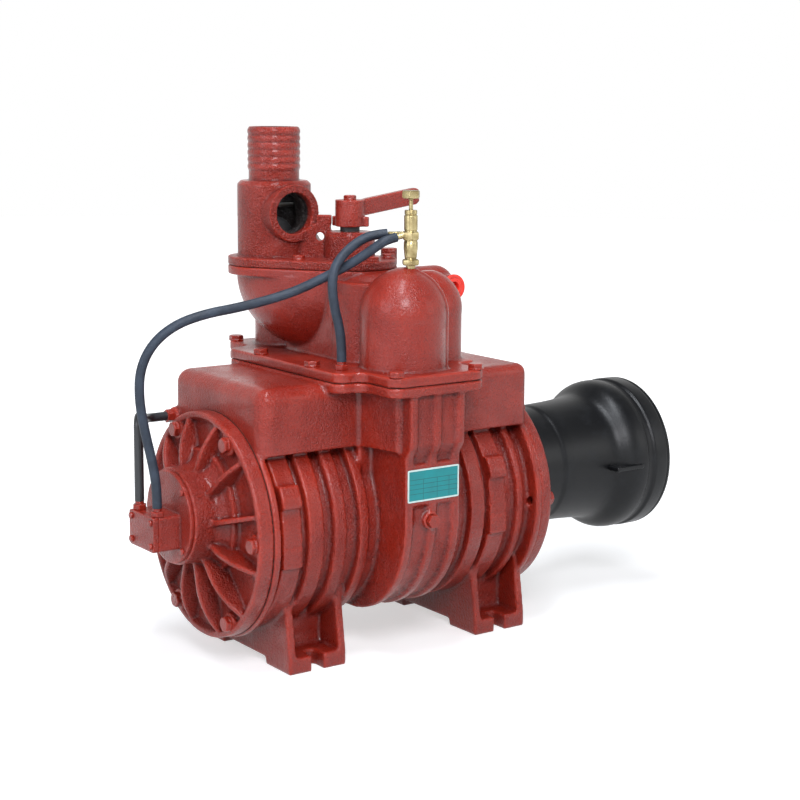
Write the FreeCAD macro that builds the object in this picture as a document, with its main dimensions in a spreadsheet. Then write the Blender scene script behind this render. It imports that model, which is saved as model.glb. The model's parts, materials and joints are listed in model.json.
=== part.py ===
import FreeCAD, Part
import math
import os
import re
from types import SimpleNamespace
from FreeCAD import Placement, Rotation, Vector

# Rotary vane vacuum pump for a tanker, driven by a power take-off shaft.
# X runs along the drive shaft towards the driven end, Z is up, and the origin
# lies on the floor in the middle of the four foot slots.

SIZES = {
    # casing
    "casing_length": 453, "rear_foot_inset": 88.5, "front_foot_inset": 47.5, "bore_z": 195,
    "bore_radius": 118, "eccentricity": 18, "barrel_radius": 139, "ring_radius": 151,
    "casing_flange_radius": 160, "casing_flange_thickness": 10, "ring_width": 30,
    "ring_step": 5, "ring_pitch": 41, "ring_inset": 17, "front_ring_inset": 89,
    "pad_face": 152, "pad_bottom": 157, "pad_height": 111, "pad_recess": 5,
    # oil tanks and the ducts on both sides
    "tank_half_width": 124, "tank_bottom": 306, "tank_top": 396, "tank_gap": 133, "tank_edge": 20,
    "front_tank_edge": 14, "manifold_inset": 221, "duct_width": 90, "duct_face": 206,
    "duct_step": 12, "duct_mouth": 66, "duct_rib": 12, "duct_ribs": 3, "duct_relief": 5,
    "duct_bottom": 63, "drain_boss": 4, "label_bottom": 233, "label_height": 56,
    # feet
    "foot_width": 92, "foot_length": 248, "foot_plate": 22, "foot_arch": 10, "foot_pad": 66,
    "foot_web": 12, "foot_wall_inset": 46, "slot_width": 20, "slot_pitch": 208,
    # end covers
    "cover_radius": 157, "cover_rim": 22, "rim_face": 10, "spigot": 6,
    "spigot_play": 0.05, "gasket": 0.5, "fin_count": 12, "fin_thickness": 7, "fin_height": 21,
    "collar_radius": 88, "collar_height": 22, "hub_radius": 67, "hub_height": 45.5,
    "bolt_circle": 142, "bolt_count": 6, "cover_bolt": 12, "bolt_pad": 15, "bolt_play": 0.5,
    "front_hub_radius": 68, "front_hub_height": 40,
    # rotor, shaft and bearings
    "rotor_play": 0.3, "rotor_end_play": 0.4, "vane_count": 6, "vane_thickness": 8,
    "vane_height": 38, "vane_play": 0.1, "shaft_radius": 25, "journal_radius": 20,
    "bearing_radius": 45, "bearing_width": 23, "race_thickness": 6.5, "roller_count": 12,
    "roller_play": 0.3, "seal_radius": 31, "seal_width": 10, "spline_radius": 17.4,
    "spline_root": 14.7, "spline_width": 8.6, "spline_count": 6, "shaft_end": 366,
    "spline_length": 82, "lock_groove": 8,
    # guard cone
    "guard_base": 91.5, "guard_shoulder": 97, "guard_bead": 118.5, "guard_mouth": 119.5,
    "guard_wall": 4, "guard_length": 273, "guard_screw": 6, "guard_screw_count": 4,
    "latch_start": 162, "latch_length": 55, "latch_width": 8, "latch_rise": 2.5,
    # oil pump
    "pump_depth": 38.5, "pump_width": 72, "pump_plate": 6, "pump_plate_radius": 64,
    "plate_screw_circle": 57,
    "pump_bottom": 175, "pump_top": 223, "pump_cover": 8, "gear_pitch": 15, "gear_teeth": 10,
    "gear_tip": 8.6, "gear_root": 6.1, "gear_length": 18, "gear_play": 0.3, "drive_stub": 4,
    "gear_tooth": 1.15,
    "idler_pin": 2.5, "pin_play": 0.05, "pump_screw": 5, "nipple_height": 11, "nipple_hex": 17,
    "line_back": 35.5, "line_pitch": 52,
    "union_length": 10,
    # manifold
    "pad_top": 399, "flange_thickness": 14, "wide_length": 236, "wide_width": 300,
    "narrow_length": 156, "narrow_width": 447, "flange_corner": 18, "manifold_bolt": 12,
    "rear_bolt_spread": 69, "front_bolt_spread": 40,
    "dome_radius": 59.5, "dome_wall_top": 480, "dome_top": 550, "dome_reach": 148,
    "dome_rib": 7, "dome_rib_height": 2.5, "side_dome_radius": 47, "side_dome_x": 73, "side_dome_y": -92,
    "riser_radius": 60, "riser_y": 150, "bowl_length": 230, "bowl_width": 136, "bowl_bottom": 421,
    "chamber_width": 108, "chamber_front": 110, "chamber_length": 225, "shoulder_radius": 60,
    "head_flange_radius": 67, "head_flange": 12.5, "head_base": 526,
    "exhaust_radius": 29, "exhaust_z": 505, "exhaust_reach": 150, "exhaust_drop": 45,
    "exhaust_bore": 13, "cap_radius": 19.5, "cap_recess": 8, "cap_play": 0.3, "cap_depth": 16,
    "air_way": 18, "air_way_y": 140,
    # changeover head
    "column_x": -92, "column_y": 99, "column_radius": 53.1, "column_top": 660,
    "tail_radius": 38, "tail_groove": 1.6, "tail_pitch": 10.1, "tail_top": 737,
    "tail_ridges": 6, "column_bore": 31, "port_z": 615, "port_radius": 41, "port_face": 57,
    "port_bore": 29.5, "port_depth": 20, "port_way": 26, "valve_radius": 36,
    "valve_top": 590, "plug_radius": 28, "plug_play": 0.4,
    "plug_depth": 60, "stem_radius": 12, "lever_z": 597, "hub_size": 21, "lever_hub": 38,
    "lever_roof": 6, "stop_start": 27, "stop_length": 21, "stop_width": 9, "stop_top": 613,
    "lever_length": 118, "lever_rise": 14, "lever_depth": 24, "lever_thickness": 12,
    "lever_bolt": 10, "head_bolt": 10,
    # non-return ball
    "ball_radius": 27, "ball_seat_z": 566, "ball_lift": 12, "seat_width": 7, "stop_pin": 3,
    "pin_bite": 8,
    # drip regulator
    "regulator_x": -28, "regulator_y": -153, "regulator_body": 9.3, "regulator_hex": 22,
    "regulator_thread": 6.4,
    "regulator_base": 551, "port_height": 46, "knob_radius": 12.8, "knob_height": 11,
    "knob_z": 644.5, "needle_radius": 2.8, "needle_play": 0.1, "barb_radius": 4.2,
    "short_barb": 22, "long_barb": 31,
    # oil lines
    "hose_radius": 6.5, "pipe_radius": 6.4, "line_gap": 0.3, "elbow_share": 0.16,
}

doc = FreeCAD.newDocument("vacuum_pump")
sheet = doc.addObject("Spreadsheet::Sheet", "sizes")
for row, (alias, number) in enumerate(SIZES.items(), start=1):
    sheet.set(f"A{row}", alias)
    sheet.set(f"B{row}", str(number))
    sheet.setAlias(f"B{row}", alias)
doc.recompute()
S = SimpleNamespace(**{alias: float(sheet.get(alias)) for alias in SIZES})

# places worked out from the driving dimensions
FOOT_PITCH = S.casing_length - S.rear_foot_inset - S.front_foot_inset
REAR = -FOOT_PITCH / 2 - S.rear_foot_inset
FRONT = REAR + S.casing_length
MANIFOLD_X = REAR + S.manifold_inset
SHAFT_Z = S.bore_z + S.eccentricity
ROTOR_RADIUS = S.bore_radius - S.eccentricity - S.rotor_play
REAR_FACE = REAR - S.gasket
FRONT_FACE = FRONT + S.gasket
RIM = REAR_FACE - S.cover_rim
FLOOR = RIM + S.rim_face
HUB = RIM - S.hub_height
FRONT_RIM = FRONT_FACE + S.cover_rim
FRONT_HUB = FRONT_RIM + S.front_hub_height
FLANGE_BASE = S.pad_top + S.gasket
FLANGE_TOP = FLANGE_BASE + S.flange_thickness
HEAD_BASE = S.head_base + S.head_flange + S.gasket
HEAD_TOP = HEAD_BASE + S.head_flange
TANK_LEFT_END = MANIFOLD_X - S.tank_gap / 2
TANK_RIGHT_END = MANIFOLD_X + S.tank_gap / 2

NODES = {}
AXES = {
    "z": Rotation(),
    "x": Rotation(Vector(0, 1, 0), 90),
    "y": Rotation(Vector(1, 0, 0), -90),
}
PLANES = {
    "xy": Rotation(),
    "yz": Rotation(Vector(1, 1, 1), 120),
    "xz": Rotation(Vector(1, 0, 0), 90),
}


def tied(text):
    """Write each size in an expression as a cell of the sheet."""
    return re.sub(r"[a-z_]\w*", lambda word: f"sizes.{word.group()}" if word.group() in SIZES
                  else word.group(), str(text))


def bind(item, **sizes):
    for name, text in sizes.items():
        item.setExpression(name, tied(text))
    return item


def primitive(kind, at, axis="z", **sizes):
    item = doc.addObject("Part::" + kind, kind.lower())
    bind(item, **sizes)
    item.Placement = Placement(Vector(*at), AXES[axis])
    return item


def cylinder(at, axis, radius, height):
    return primitive("Cylinder", at, axis, Radius=radius, Height=height)


def rod(start, way, radius, length):
    """Cylinder from a point along any direction."""
    item = primitive("Cylinder", start, Radius=radius, Height=length)
    item.Placement = Placement(Vector(*start), Rotation(Vector(0, 0, 1), Vector(*way)))
    return item


def hexagon(at, axis, across_flats, height):
    return primitive("Prism", at, axis, Polygon=6, Height=height,
                     Circumradius=f"({across_flats}) / sqrt(3)")


def fuse(*items):
    union = doc.addObject("Part::MultiFuse", "union")
    union.Shapes = list(items)
    return union


def cut(base, *tools):
    difference = doc.addObject("Part::Cut", "difference")
    difference.Base = base
    difference.Tool = tools[0] if len(tools) == 1 else fuse(*tools)
    return difference


def group(*items):
    """Keep separate solids together in one node."""
    compound = doc.addObject("Part::Compound", "group")
    compound.Links = list(items)
    return compound


def rounded(item, radius, keep):
    """Round the edges that the test keeps."""
    doc.recompute()
    fillet = doc.addObject("Part::Fillet", "rounding")
    fillet.Base = item
    fillet.Edges = [(number, radius, radius)
                    for number, edge in enumerate(item.Shape.Edges, start=1) if keep(edge)]
    return fillet


def upright(edge):
    return len(edge.Vertexes) == 2 and abs(edge.tangentAt(edge.FirstParameter).z) > 0.99


def draw(sketch, outline):
    """Close an outline. A step of two numbers is a line, one of four an arc
    through its first point."""
    here = outline[0]
    steps = outline[1:]
    if math.dist(steps[-1][-2:], here) > 0.001:
        steps = steps + [here]
    for step in steps:
        end = step[-2:]
        if len(step) == 2:
            edge = Part.LineSegment(Vector(*here, 0), Vector(*end, 0))
        else:
            edge = Part.Arc(Vector(*here, 0), Vector(*step[:2], 0), Vector(*end, 0))
        sketch.addGeometry(edge)
        here = end


def slab(plane, at, outline, length):
    """Extrude an outline: yz along +X, xz along -Y, xy along +Z."""
    sketch = doc.addObject("Sketcher::SketchObject", "profile")
    sketch.Placement = Placement(Vector(*at), PLANES[plane])
    draw(sketch, outline)
    extrusion = doc.addObject("Part::Extrusion", "slab")
    extrusion.Base = sketch
    extrusion.DirMode = "Normal"
    extrusion.Solid = True
    return bind(extrusion, LengthFwd=length)


def new_body(at):
    body = doc.addObject("PartDesign::Body", "body")
    body.Placement = Placement(Vector(*at), Rotation())
    return body


def origin_part(body, role):
    return next(part for part in body.Origin.OriginFeatures if part.Role == role)


def sketch_in(body, plane, outline=None, offset=(0, 0, 0), turn=None):
    sketch = body.newObject("Sketcher::SketchObject", "sketch")
    sketch.AttachmentSupport = [(origin_part(body, plane), "")]
    sketch.MapMode = "FlatFace"
    sketch.AttachmentOffset = Placement(Vector(*offset), turn or Rotation())
    if outline:
        draw(sketch, outline)
    return sketch


def circle_in(body, plane, u, v, radius, depth=0):
    sketch = sketch_in(body, plane, offset=(0, 0, depth))
    sketch.addGeometry(Part.Circle(Vector(u, v, 0), Vector(0, 0, 1), radius))
    return sketch


def feature(body, kind, sketch, **sizes):
    item = body.newObject("PartDesign::" + kind, kind.lower())
    item.Profile = sketch
    return bind(item, **sizes)


def turn_about(body, kind, sketch, axis):
    item = body.newObject("PartDesign::" + kind, kind.lower())
    item.Profile = sketch
    item.ReferenceAxis = (sketch, [axis])
    item.Angle = 360
    return item


def polar(body, items, count):
    doc.recompute()
    pattern = body.newObject("PartDesign::PolarPattern", "pattern")
    pattern.Originals = items
    pattern.Axis = (origin_part(body, "X_Axis"), [""])
    pattern.Angle = 360
    bind(pattern, Occurrences=count)
    body.Tip = pattern
    return pattern


def turned(at, outline, axis="H_Axis"):
    """Turn an outline about X (H_Axis) or Z (V_Axis) into a body."""
    body = new_body(at)
    turn_about(body, "Revolution", sketch_in(body, "XZ_Plane", outline), axis)
    return body


def ring(at, inner, outer, width):
    """Turn a plain ring about X."""
    return turned(at, [(0, inner), (width, inner), (width, outer), (0, outer)])


def node(name, item):
    item.Label = name
    NODES[name] = item
    return item


def around(count, radius, start=0.0):
    """Yield the y and z offsets of points on a circle, from the -Y side."""
    for number in range(int(count)):
        angle = math.radians(start + 360 * number / count)
        yield -radius * math.cos(angle), radius * math.sin(angle)


def bolt(at, axis, size, grip, head_first=True):
    """Hexagon head bolt. Its head lies at the start of the axis, or past the
    grip, and the shank fills the grip."""
    flats = f"{size} * 1.6"
    shank = cylinder(at, axis, f"{size} / 2", grip)
    shank.recompute()
    step = AXES[axis].multVec(Vector(0, 0, 1))
    height = getattr(S, size) * 0.65
    place = Vector(*at) - step * height if head_first else Vector(*at) + step * shank.Height.Value
    head = hexagon(place, axis, flats, f"{size} * 0.65")
    return fuse(shank, head)


# stator casing

def casing_rings():
    rings = []
    for number in range(4):
        start = REAR + S.ring_inset + number * S.ring_pitch
        rings.append(cylinder((start, 0, S.bore_z), "x", "ring_radius",
                              f"ring_width - {number} * ring_step"))
    for number in range(2):
        start = FRONT - S.front_ring_inset - number * (S.ring_pitch - 7)
        rings.append(cylinder((start, 0, S.bore_z), "x", "ring_radius",
                              f"ring_width - {number} * ring_step"))
    rings.append(cylinder((FRONT - 39, 0, S.bore_z), "x", "ring_radius", "ring_width * 0.4"))
    return rings


def ring_pads(side):
    """Flat casting pads, with a shallow recess between, on the rings above the feet."""
    face = S.pad_face
    low = S.pad_bottom
    top = low + S.pad_height
    deep = face - S.pad_recess
    outline = [(side * 120, low), (side * face, low), (side * face, low + 28),
               (side * deep, low + 30), (side * deep, low + 81), (side * face, low + 83),
               (side * (face - 2), low + 95), (side * (face - 11), top), (side * 120, top)]
    return [slab("yz", (start, 0, 0), outline, "ring_width")
            for start in (REAR + S.ring_inset, FRONT - S.front_ring_inset)]


def duct_outline(side, relief):
    face = S.duct_face - relief
    low = S.duct_bottom + relief
    return [(0, S.pad_top - S.flange_thickness),
            (side * (face + S.duct_step), S.pad_top - S.flange_thickness),
            (side * (face + S.duct_step), S.tank_bottom + 10),
            (side * face, S.tank_bottom - 8), (side * face, S.bore_z + 20),
            (side * (face - 36), S.bore_z - 84 + relief, side * 62, low), (0, low)]


def duct(side):
    """Side chamber with upright ribs that run down round the barrel, and a
    flat pad for the rating plate."""
    left = MANIFOLD_X - S.duct_width / 2
    parts = [slab("yz", (left, 0, 0), duct_outline(side, S.duct_relief), "duct_width")]
    step = (S.duct_width - S.duct_rib) / (S.duct_ribs - 1)
    for number in range(int(S.duct_ribs)):
        parts.append(slab("yz", (left + number * step, 0, 0), duct_outline(side, 0), "duct_rib"))
    start = -S.duct_face if side < 0 else S.duct_face - 30
    parts.append(primitive("Box", (left, start, S.label_bottom), Length="duct_width", Width=30,
                           Height="label_height"))
    return parts


def duct_flank(side):
    """Flared walls from the tanks out to the mouth under the manifold."""
    half = S.duct_width / 2
    outline = [(TANK_LEFT_END, side * 60), (TANK_LEFT_END, side * S.tank_half_width),
               (MANIFOLD_X - half - 6, side * (S.duct_face - 12)),
               (MANIFOLD_X + half + 6, side * (S.duct_face - 12)),
               (TANK_RIGHT_END, side * S.tank_half_width), (TANK_RIGHT_END, side * 60)]
    return slab("xy", (0, 0, S.tank_bottom), outline,
                "pad_top - flange_thickness - tank_bottom")


def tank(start, end):
    box = primitive("Box", (start, -S.tank_half_width, S.tank_bottom), Length=end - start,
                    Width="2 * tank_half_width", Height="tank_top - tank_bottom")
    rear = start < MANIFOLD_X - S.tank_gap

    def outer(edge):
        middle = edge.CenterOfMass
        end_x = start if rear else end
        at_end = abs(middle.x - end_x) < 1
        along = abs(abs(middle.y) - S.tank_half_width) < 1
        on_top = abs(middle.z - S.tank_top) < 1
        return (at_end and (along or on_top)) or (along and on_top)

    return rounded(box, S.tank_edge if rear else S.front_tank_edge, outer)


def cross_outline(inset):
    """Manifold flange outline: wide across the tanks, narrow over the ducts."""
    wide = S.wide_length / 2 - inset
    deep = S.wide_width / 2 - inset
    narrow = S.narrow_length / 2 - inset
    reach = S.narrow_width / 2 - inset
    right = [(narrow, -reach), (narrow, -deep), (wide, -deep), (wide, deep), (narrow, deep),
             (narrow, reach)]
    left = [(-x, y) for x, y in reversed(right)]
    return [(MANIFOLD_X + x, y) for x, y in right + left]


def manifold_plate(bottom, height, inset=0):
    plate = slab("xy", (0, 0, bottom), cross_outline(inset), height)
    return rounded(plate, S.flange_corner - inset, upright)


def foot(centre):
    """Base plate, two flared side webs and a set-back wall between them."""
    left = centre - S.foot_width / 2
    half = S.foot_length / 2
    inner = half - S.foot_pad
    wall_foot = half - S.foot_wall_inset
    base = [(-half, 0), (-inner, 0), (-inner, S.foot_arch), (inner, S.foot_arch), (inner, 0),
            (half, 0), (half, S.foot_plate), (-half, S.foot_plate)]
    web = [(-half, S.foot_plate - 4), (half, S.foot_plate - 4), (half - 2, S.foot_plate + 12),
           (half - 20, S.bore_z - 45), (-half + 20, S.bore_z - 45),
           (-half + 2, S.foot_plate + 12)]
    wall = [(-wall_foot, S.foot_plate - 4), (wall_foot, S.foot_plate - 4),
            (wall_foot - 4, S.foot_plate + 16), (wall_foot + 4, S.bore_z - 60),
            (-wall_foot - 4, S.bore_z - 60), (-wall_foot + 4, S.foot_plate + 16)]
    parts = [slab("yz", (left, 0, 0), base, "foot_width"),
             slab("yz", (left, 0, 0), wall, "foot_width")]
    for start in (left, left + S.foot_width - S.foot_web):
        parts.append(slab("yz", (start, 0, 0), web, "foot_web"))
    return parts


def foot_slot(x, side):
    """Open slot for one holding-down bolt, with a round inner end."""
    y = side * S.slot_pitch / 2
    end = cylinder((x, y, -1), "z", "slot_width / 2", "foot_plate + 12")
    start = y if side > 0 else -S.foot_length / 2 - 1
    way = primitive("Box", (x - S.slot_width / 2, start, -1), Length="slot_width",
                    Width="foot_length / 2 - slot_pitch / 2 + 1", Height="foot_plate + 12")
    return [end, way]


def duct_way(side):
    """Passage from the bore up to the manifold."""
    y = -S.duct_face + 20 if side < 0 else 90
    rise = primitive("Box", (MANIFOLD_X - S.duct_mouth / 2, y, S.bore_z + 15),
                     Length="duct_mouth", Width="duct_face - 110", Height="pad_top - bore_z")
    return rise


def stator_casing():
    barrel = cylinder((REAR, 0, S.bore_z), "x", "barrel_radius", "casing_length")
    flanges = [cylinder((x, 0, S.bore_z), "x", "casing_flange_radius",
                        "casing_flange_thickness")
               for x in (REAR, FRONT - S.casing_flange_thickness)]
    band = cylinder((MANIFOLD_X - 62, 0, S.bore_z), "x", "barrel_radius + 3",
                    "duct_width + 17")
    middle = primitive("Box", (TANK_LEFT_END, -S.tank_half_width, S.tank_bottom - 40),
                       Length="tank_gap", Width="2 * tank_half_width",
                       Height="pad_top - flange_thickness - tank_bottom + 40")
    parts = [barrel, band, middle, *flanges, *casing_rings()]
    for side in (-1, 1):
        parts += duct(side) + ring_pads(side)
        parts.append(duct_flank(side))
    parts += [tank(REAR, TANK_LEFT_END), tank(TANK_RIGHT_END, FRONT)]
    parts.append(manifold_plate(S.pad_top - S.flange_thickness, "flange_thickness"))
    for centre in (-FOOT_PITCH / 2, FOOT_PITCH / 2):
        parts += foot(centre)
    pipe_boss = cylinder((REAR - 7, PIPE_END[1], PIPE_END[2]), "x", 12, 14)
    drain = (MANIFOLD_X - 4, -S.duct_face - S.drain_boss, S.bore_z + 15)
    parts.append(cylinder(drain, "y", 12, S.drain_boss + 12))
    ways = [cylinder((REAR - 1, 0, S.bore_z), "x", "bore_radius", "casing_length + 2"),
            cylinder(drain, "y", 7, 16)]
    for x in (REAR, FRONT - S.casing_flange_thickness):
        ways += [cylinder((x - 1, y, S.bore_z + z), "x", "cover_bolt / 2",
                          "casing_flange_thickness + 8")
                 for y, z in around(S.bolt_count, S.bolt_circle)]
    for side in (-1, 1):
        ways.append(duct_way(side))
        for x in (-FOOT_PITCH / 2, FOOT_PITCH / 2):
            ways += foot_slot(x, side)
    return cut(fuse(*parts, pipe_boss), *ways)


def drain_plug():
    """Hexagon plug low in the ribbed side chamber."""
    y = -S.duct_face - S.drain_boss
    head = hexagon((MANIFOLD_X - 4, y - 7, S.bore_z + 15), "y", 17, 7)
    shank = cylinder((MANIFOLD_X - 4, y, S.bore_z + 15), "y", 7, 16)
    return fuse(head, shank)


# end covers

def bearing_bores(face, inward, hub_face):
    """Outline of the stepped bore for bearing, seal and shaft, as x and radius
    measured from the shaft line."""
    seat = face - inward * S.bearing_width
    back = seat - inward * 6
    seal = hub_face + inward * S.seal_width
    clear = S.journal_radius + 2
    return [(face + inward * (S.spigot + 1), 0), (face + inward * (S.spigot + 1), S.bearing_radius),
            (seat, S.bearing_radius), (seat, S.bearing_radius - 5), (back, S.bearing_radius - 5),
            (back, clear), (seal, clear), (seal, S.seal_radius),
            (hub_face - inward, S.seal_radius), (hub_face - inward, 0)]


def cover_holes(body, face, through):
    """Bolt holes round the rim."""
    hole = feature(body, "Pocket", circle_in(body, "YZ_Plane", -S.bolt_circle, 0,
                                             S.cover_bolt / 2 + S.bolt_play, face),
                   Length=through)
    hole.Midplane = True
    polar(body, [hole], "bolt_count")


def rear_cover():
    """Finned end cover that carries the bearing and the oil pump."""
    body = new_body((0, 0, S.bore_z))
    edge = S.cover_radius
    disc = [(REAR_FACE + S.spigot, 0), (REAR_FACE + S.spigot, S.bore_radius - S.spigot_play),
            (REAR_FACE, S.bore_radius - S.spigot_play), (REAR_FACE, edge), (RIM + 3, edge),
            (RIM + 0.9, edge - 0.9, RIM, edge - 3), (RIM, edge - 8), (FLOOR, edge - 13),
            (FLOOR, 0)]
    turn_about(body, "Revolution", sketch_in(body, "XZ_Plane", disc), "H_Axis")
    fin = [(FLOOR + 1, S.hub_radius - 20), (RIM - S.fin_height, S.hub_radius - 20),
           (RIM - S.fin_height, S.hub_radius + 3),
           (RIM - S.fin_height * 0.82, edge - 45, RIM + 1, edge - 8), (FLOOR + 1, edge - 8)]
    half_step = Rotation(Vector(1, 0, 0), 180 / S.fin_count)
    blade = feature(body, "Pad", sketch_in(body, "XZ_Plane", fin, turn=half_step),
                    Length="fin_thickness")
    blade.Midplane = True
    polar(body, [blade], "fin_count")
    pad = feature(body, "Pad", circle_in(body, "YZ_Plane", -S.bolt_circle, 0, S.bolt_pad, RIM),
                  Length="rim_face + 1")
    polar(body, [pad], "bolt_count")
    doc.recompute()
    foot = RIM - S.collar_height
    hub = [(HUB, 0), (HUB, S.hub_radius), (foot, S.hub_radius),
           (foot + S.collar_height * 0.74, S.hub_radius + 6, RIM, S.collar_radius),
           (FLOOR + 1, S.collar_radius + 1), (FLOOR + 1, 0)]
    turn_about(body, "Revolution", sketch_in(body, "XZ_Plane", hub,
                                             offset=(0, S.eccentricity, 0)), "H_Axis")
    doc.recompute()
    bores = bearing_bores(REAR_FACE, 1, HUB)
    turn_about(body, "Groove", sketch_in(body, "XZ_Plane", bores,
                                         offset=(0, S.eccentricity, 0)), "H_Axis")
    for y, z in plate_screw_places():
        hole = circle_in(body, "YZ_Plane", y, z + S.eccentricity, S.pump_screw / 2 + S.pin_play, HUB)
        feature(body, "Pocket", hole, Length="4 * pump_plate").Midplane = True
    cover_holes(body, REAR_FACE, "4 * cover_rim")
    return body


def front_cover():
    body = new_body((0, 0, S.bore_z))
    edge = S.cover_radius
    disc = [(FRONT_FACE - S.spigot, 0), (FRONT_FACE - S.spigot, S.bore_radius - S.spigot_play),
            (FRONT_FACE, S.bore_radius - S.spigot_play), (FRONT_FACE, edge),
            (FRONT_RIM - 4, edge), (FRONT_RIM, edge - 4), (FRONT_RIM, 0)]
    turn_about(body, "Revolution", sketch_in(body, "XZ_Plane", disc), "H_Axis")
    feature(body, "Pad", circle_in(body, "YZ_Plane", 0, S.eccentricity, S.front_hub_radius,
                                   FRONT_RIM - 1),
            Length="front_hub_height + 1")
    doc.recompute()
    bores = bearing_bores(FRONT_FACE, -1, FRONT_HUB)
    turn_about(body, "Groove", sketch_in(body, "XZ_Plane", bores,
                                         offset=(0, S.eccentricity, 0)), "H_Axis")
    cover_holes(body, FRONT_FACE, "4 * cover_rim")
    return body


def cover_gasket(start):
    plain = ring((start, 0, S.bore_z), S.bore_radius, S.cover_radius, S.gasket)
    holes = [cylinder((start - 1, y, S.bore_z + z), "x", "cover_bolt / 2 + bolt_play", 3)
             for y, z in around(S.bolt_count, S.bolt_circle)]
    return cut(plain, *holes)


def cover_bolts(rim, outward):
    grip = S.cover_rim + S.gasket + S.casing_flange_thickness
    start = rim if outward < 0 else rim - grip
    return group(*[bolt((start, y, S.bore_z + z), "x", "cover_bolt",
                        "cover_rim + gasket + casing_flange_thickness",
                        head_first=outward < 0)
                   for y, z in around(S.bolt_count, S.bolt_circle)])


# rotor, shaft and bearings

def drive_shaft():
    """Through shaft with bearing journals, oil pump stub and splined end."""
    body = new_body((0, 0, SHAFT_Z))
    spline_start = S.shaft_end - S.spline_length
    groove = S.shaft_end - 38
    stub = HUB - S.pump_depth + S.gear_play
    outline = [(stub, 0), (stub, S.drive_stub - 1), (stub + 1, S.drive_stub),
               (HUB + S.gear_play, S.drive_stub), (HUB + S.gear_play, S.journal_radius),
               (REAR_FACE, S.journal_radius),
               (REAR_FACE, S.shaft_radius), (FRONT_FACE, S.shaft_radius),
               (FRONT_FACE, S.journal_radius), (spline_start, S.journal_radius),
               (spline_start + 2, S.spline_radius), (groove, S.spline_radius),
               (groove + S.lock_groove / 2, S.spline_root - 0.4, groove + S.lock_groove,
                S.spline_radius), (S.shaft_end - 2, S.spline_radius),
               (S.shaft_end, S.spline_radius - 2), (S.shaft_end, 0)]
    turn_about(body, "Revolution", sketch_in(body, "XZ_Plane", outline), "H_Axis")
    step = math.pi / S.spline_count
    flank = math.asin(S.spline_width / 2 / S.spline_radius)
    root = math.asin(S.spline_width / 2 / S.spline_root)

    def on(radius, angle):
        return radius * math.cos(angle), radius * math.sin(angle)

    gap = [on(S.spline_radius + 2, -(step - flank)), on(S.spline_radius + 2, step - flank),
           on(S.spline_root, step - root), (*on(S.spline_root, 0),
                                            *on(S.spline_root, root - step))]
    cutter = feature(body, "Pocket", sketch_in(body, "YZ_Plane", gap,
                                               offset=(0, 0, S.shaft_end - S.spline_length / 2)),
                     Length="spline_length - 6")
    cutter.Midplane = True
    polar(body, [cutter], "spline_count")
    return body


def rotor():
    """Slotted drum, pressed on the shaft and nearly touching the bore's top."""
    length = S.casing_length - 2 * S.rotor_end_play - 2 * S.spigot
    start = REAR + S.spigot + S.rotor_end_play
    body = new_body((0, 0, SHAFT_Z))
    drum = [(start, S.shaft_radius), (start, ROTOR_RADIUS), (start + length, ROTOR_RADIUS),
            (start + length, S.shaft_radius)]
    turn_about(body, "Revolution", sketch_in(body, "XZ_Plane", drum), "H_Axis")
    floor = ROTOR_RADIUS - S.vane_height - 1
    half = S.vane_thickness / 2 + S.vane_play
    slot = [(-half, floor), (half, floor), (half, ROTOR_RADIUS + 5), (-half, ROTOR_RADIUS + 5)]
    cutter = feature(body, "Pocket", sketch_in(body, "YZ_Plane", slot,
                                               offset=(0, 0, (REAR + FRONT) / 2)),
                     Length="casing_length + 4")
    cutter.Midplane = True
    polar(body, [cutter], "vane_count")
    return body


def vanes():
    start = REAR + S.spigot + S.rotor_end_play
    bottom = ROTOR_RADIUS - S.vane_height - 0.5
    blades = []
    for number in range(int(S.vane_count)):
        blade = primitive("Box", (0, 0, 0), Width="vane_thickness", Height="vane_height",
                          Length="casing_length - 2 * rotor_end_play - 2 * spigot")
        turn = Rotation(Vector(1, 0, 0), 360 * number / S.vane_count)
        corner = turn.multVec(Vector(start, -S.vane_thickness / 2, bottom))
        blade.Placement = Placement(Vector(0, 0, SHAFT_Z) + corner, turn)
        blades.append(blade)
    return group(*blades)


def bearing(start):
    """Roller bearing: outer race, inner race, and rollers held by a cage ring."""
    at = (start, 0, SHAFT_Z)
    outer = ring(at, S.bearing_radius - S.race_thickness, S.bearing_radius, S.bearing_width)
    inner = ring(at, S.journal_radius, S.journal_radius + S.race_thickness, S.bearing_width)
    low = S.journal_radius + S.race_thickness + S.roller_play
    high = S.bearing_radius - S.race_thickness - S.roller_play
    cage = ring((start + 3, 0, SHAFT_Z), low + 2.5, high - 2.5, S.bearing_width - 6)
    rollers = [cylinder((start + 2, y, SHAFT_Z + z), "x", (high - low) / 2, S.bearing_width - 4)
               for y, z in around(S.roller_count, (high + low) / 2)]
    return outer, inner, fuse(cage, *rollers)


def shaft_seal(start):
    return ring((start, 0, SHAFT_Z), S.journal_radius + S.vane_play, S.seal_radius,
                S.seal_width)


# guard cone

def guard_outline(inset):
    """Outer wall of the cone from its foot to its mouth, as x and radius."""
    start = FRONT_RIM
    mouth = start + S.guard_length
    base = S.guard_base - inset
    shoulder = S.guard_shoulder - inset
    bead = S.guard_bead - inset
    rim = S.guard_mouth - inset
    return [(start, base - 3), (start + 80, base - 3), (start + 86, base),
            (start + 120, base + 1.5), (start + 152, shoulder - 1.5),
            (start + 167, shoulder + 1), (start + 184, shoulder + 13, start + 212, bead - 0.5),
            (start + 222, bead), (start + 228, bead - 0.6), (start + 234, bead - 2.2),
            (start + 238, bead - 2.2), (start + 242, rim), (mouth - 5, rim),
            (mouth, rim - 2)]


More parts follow.
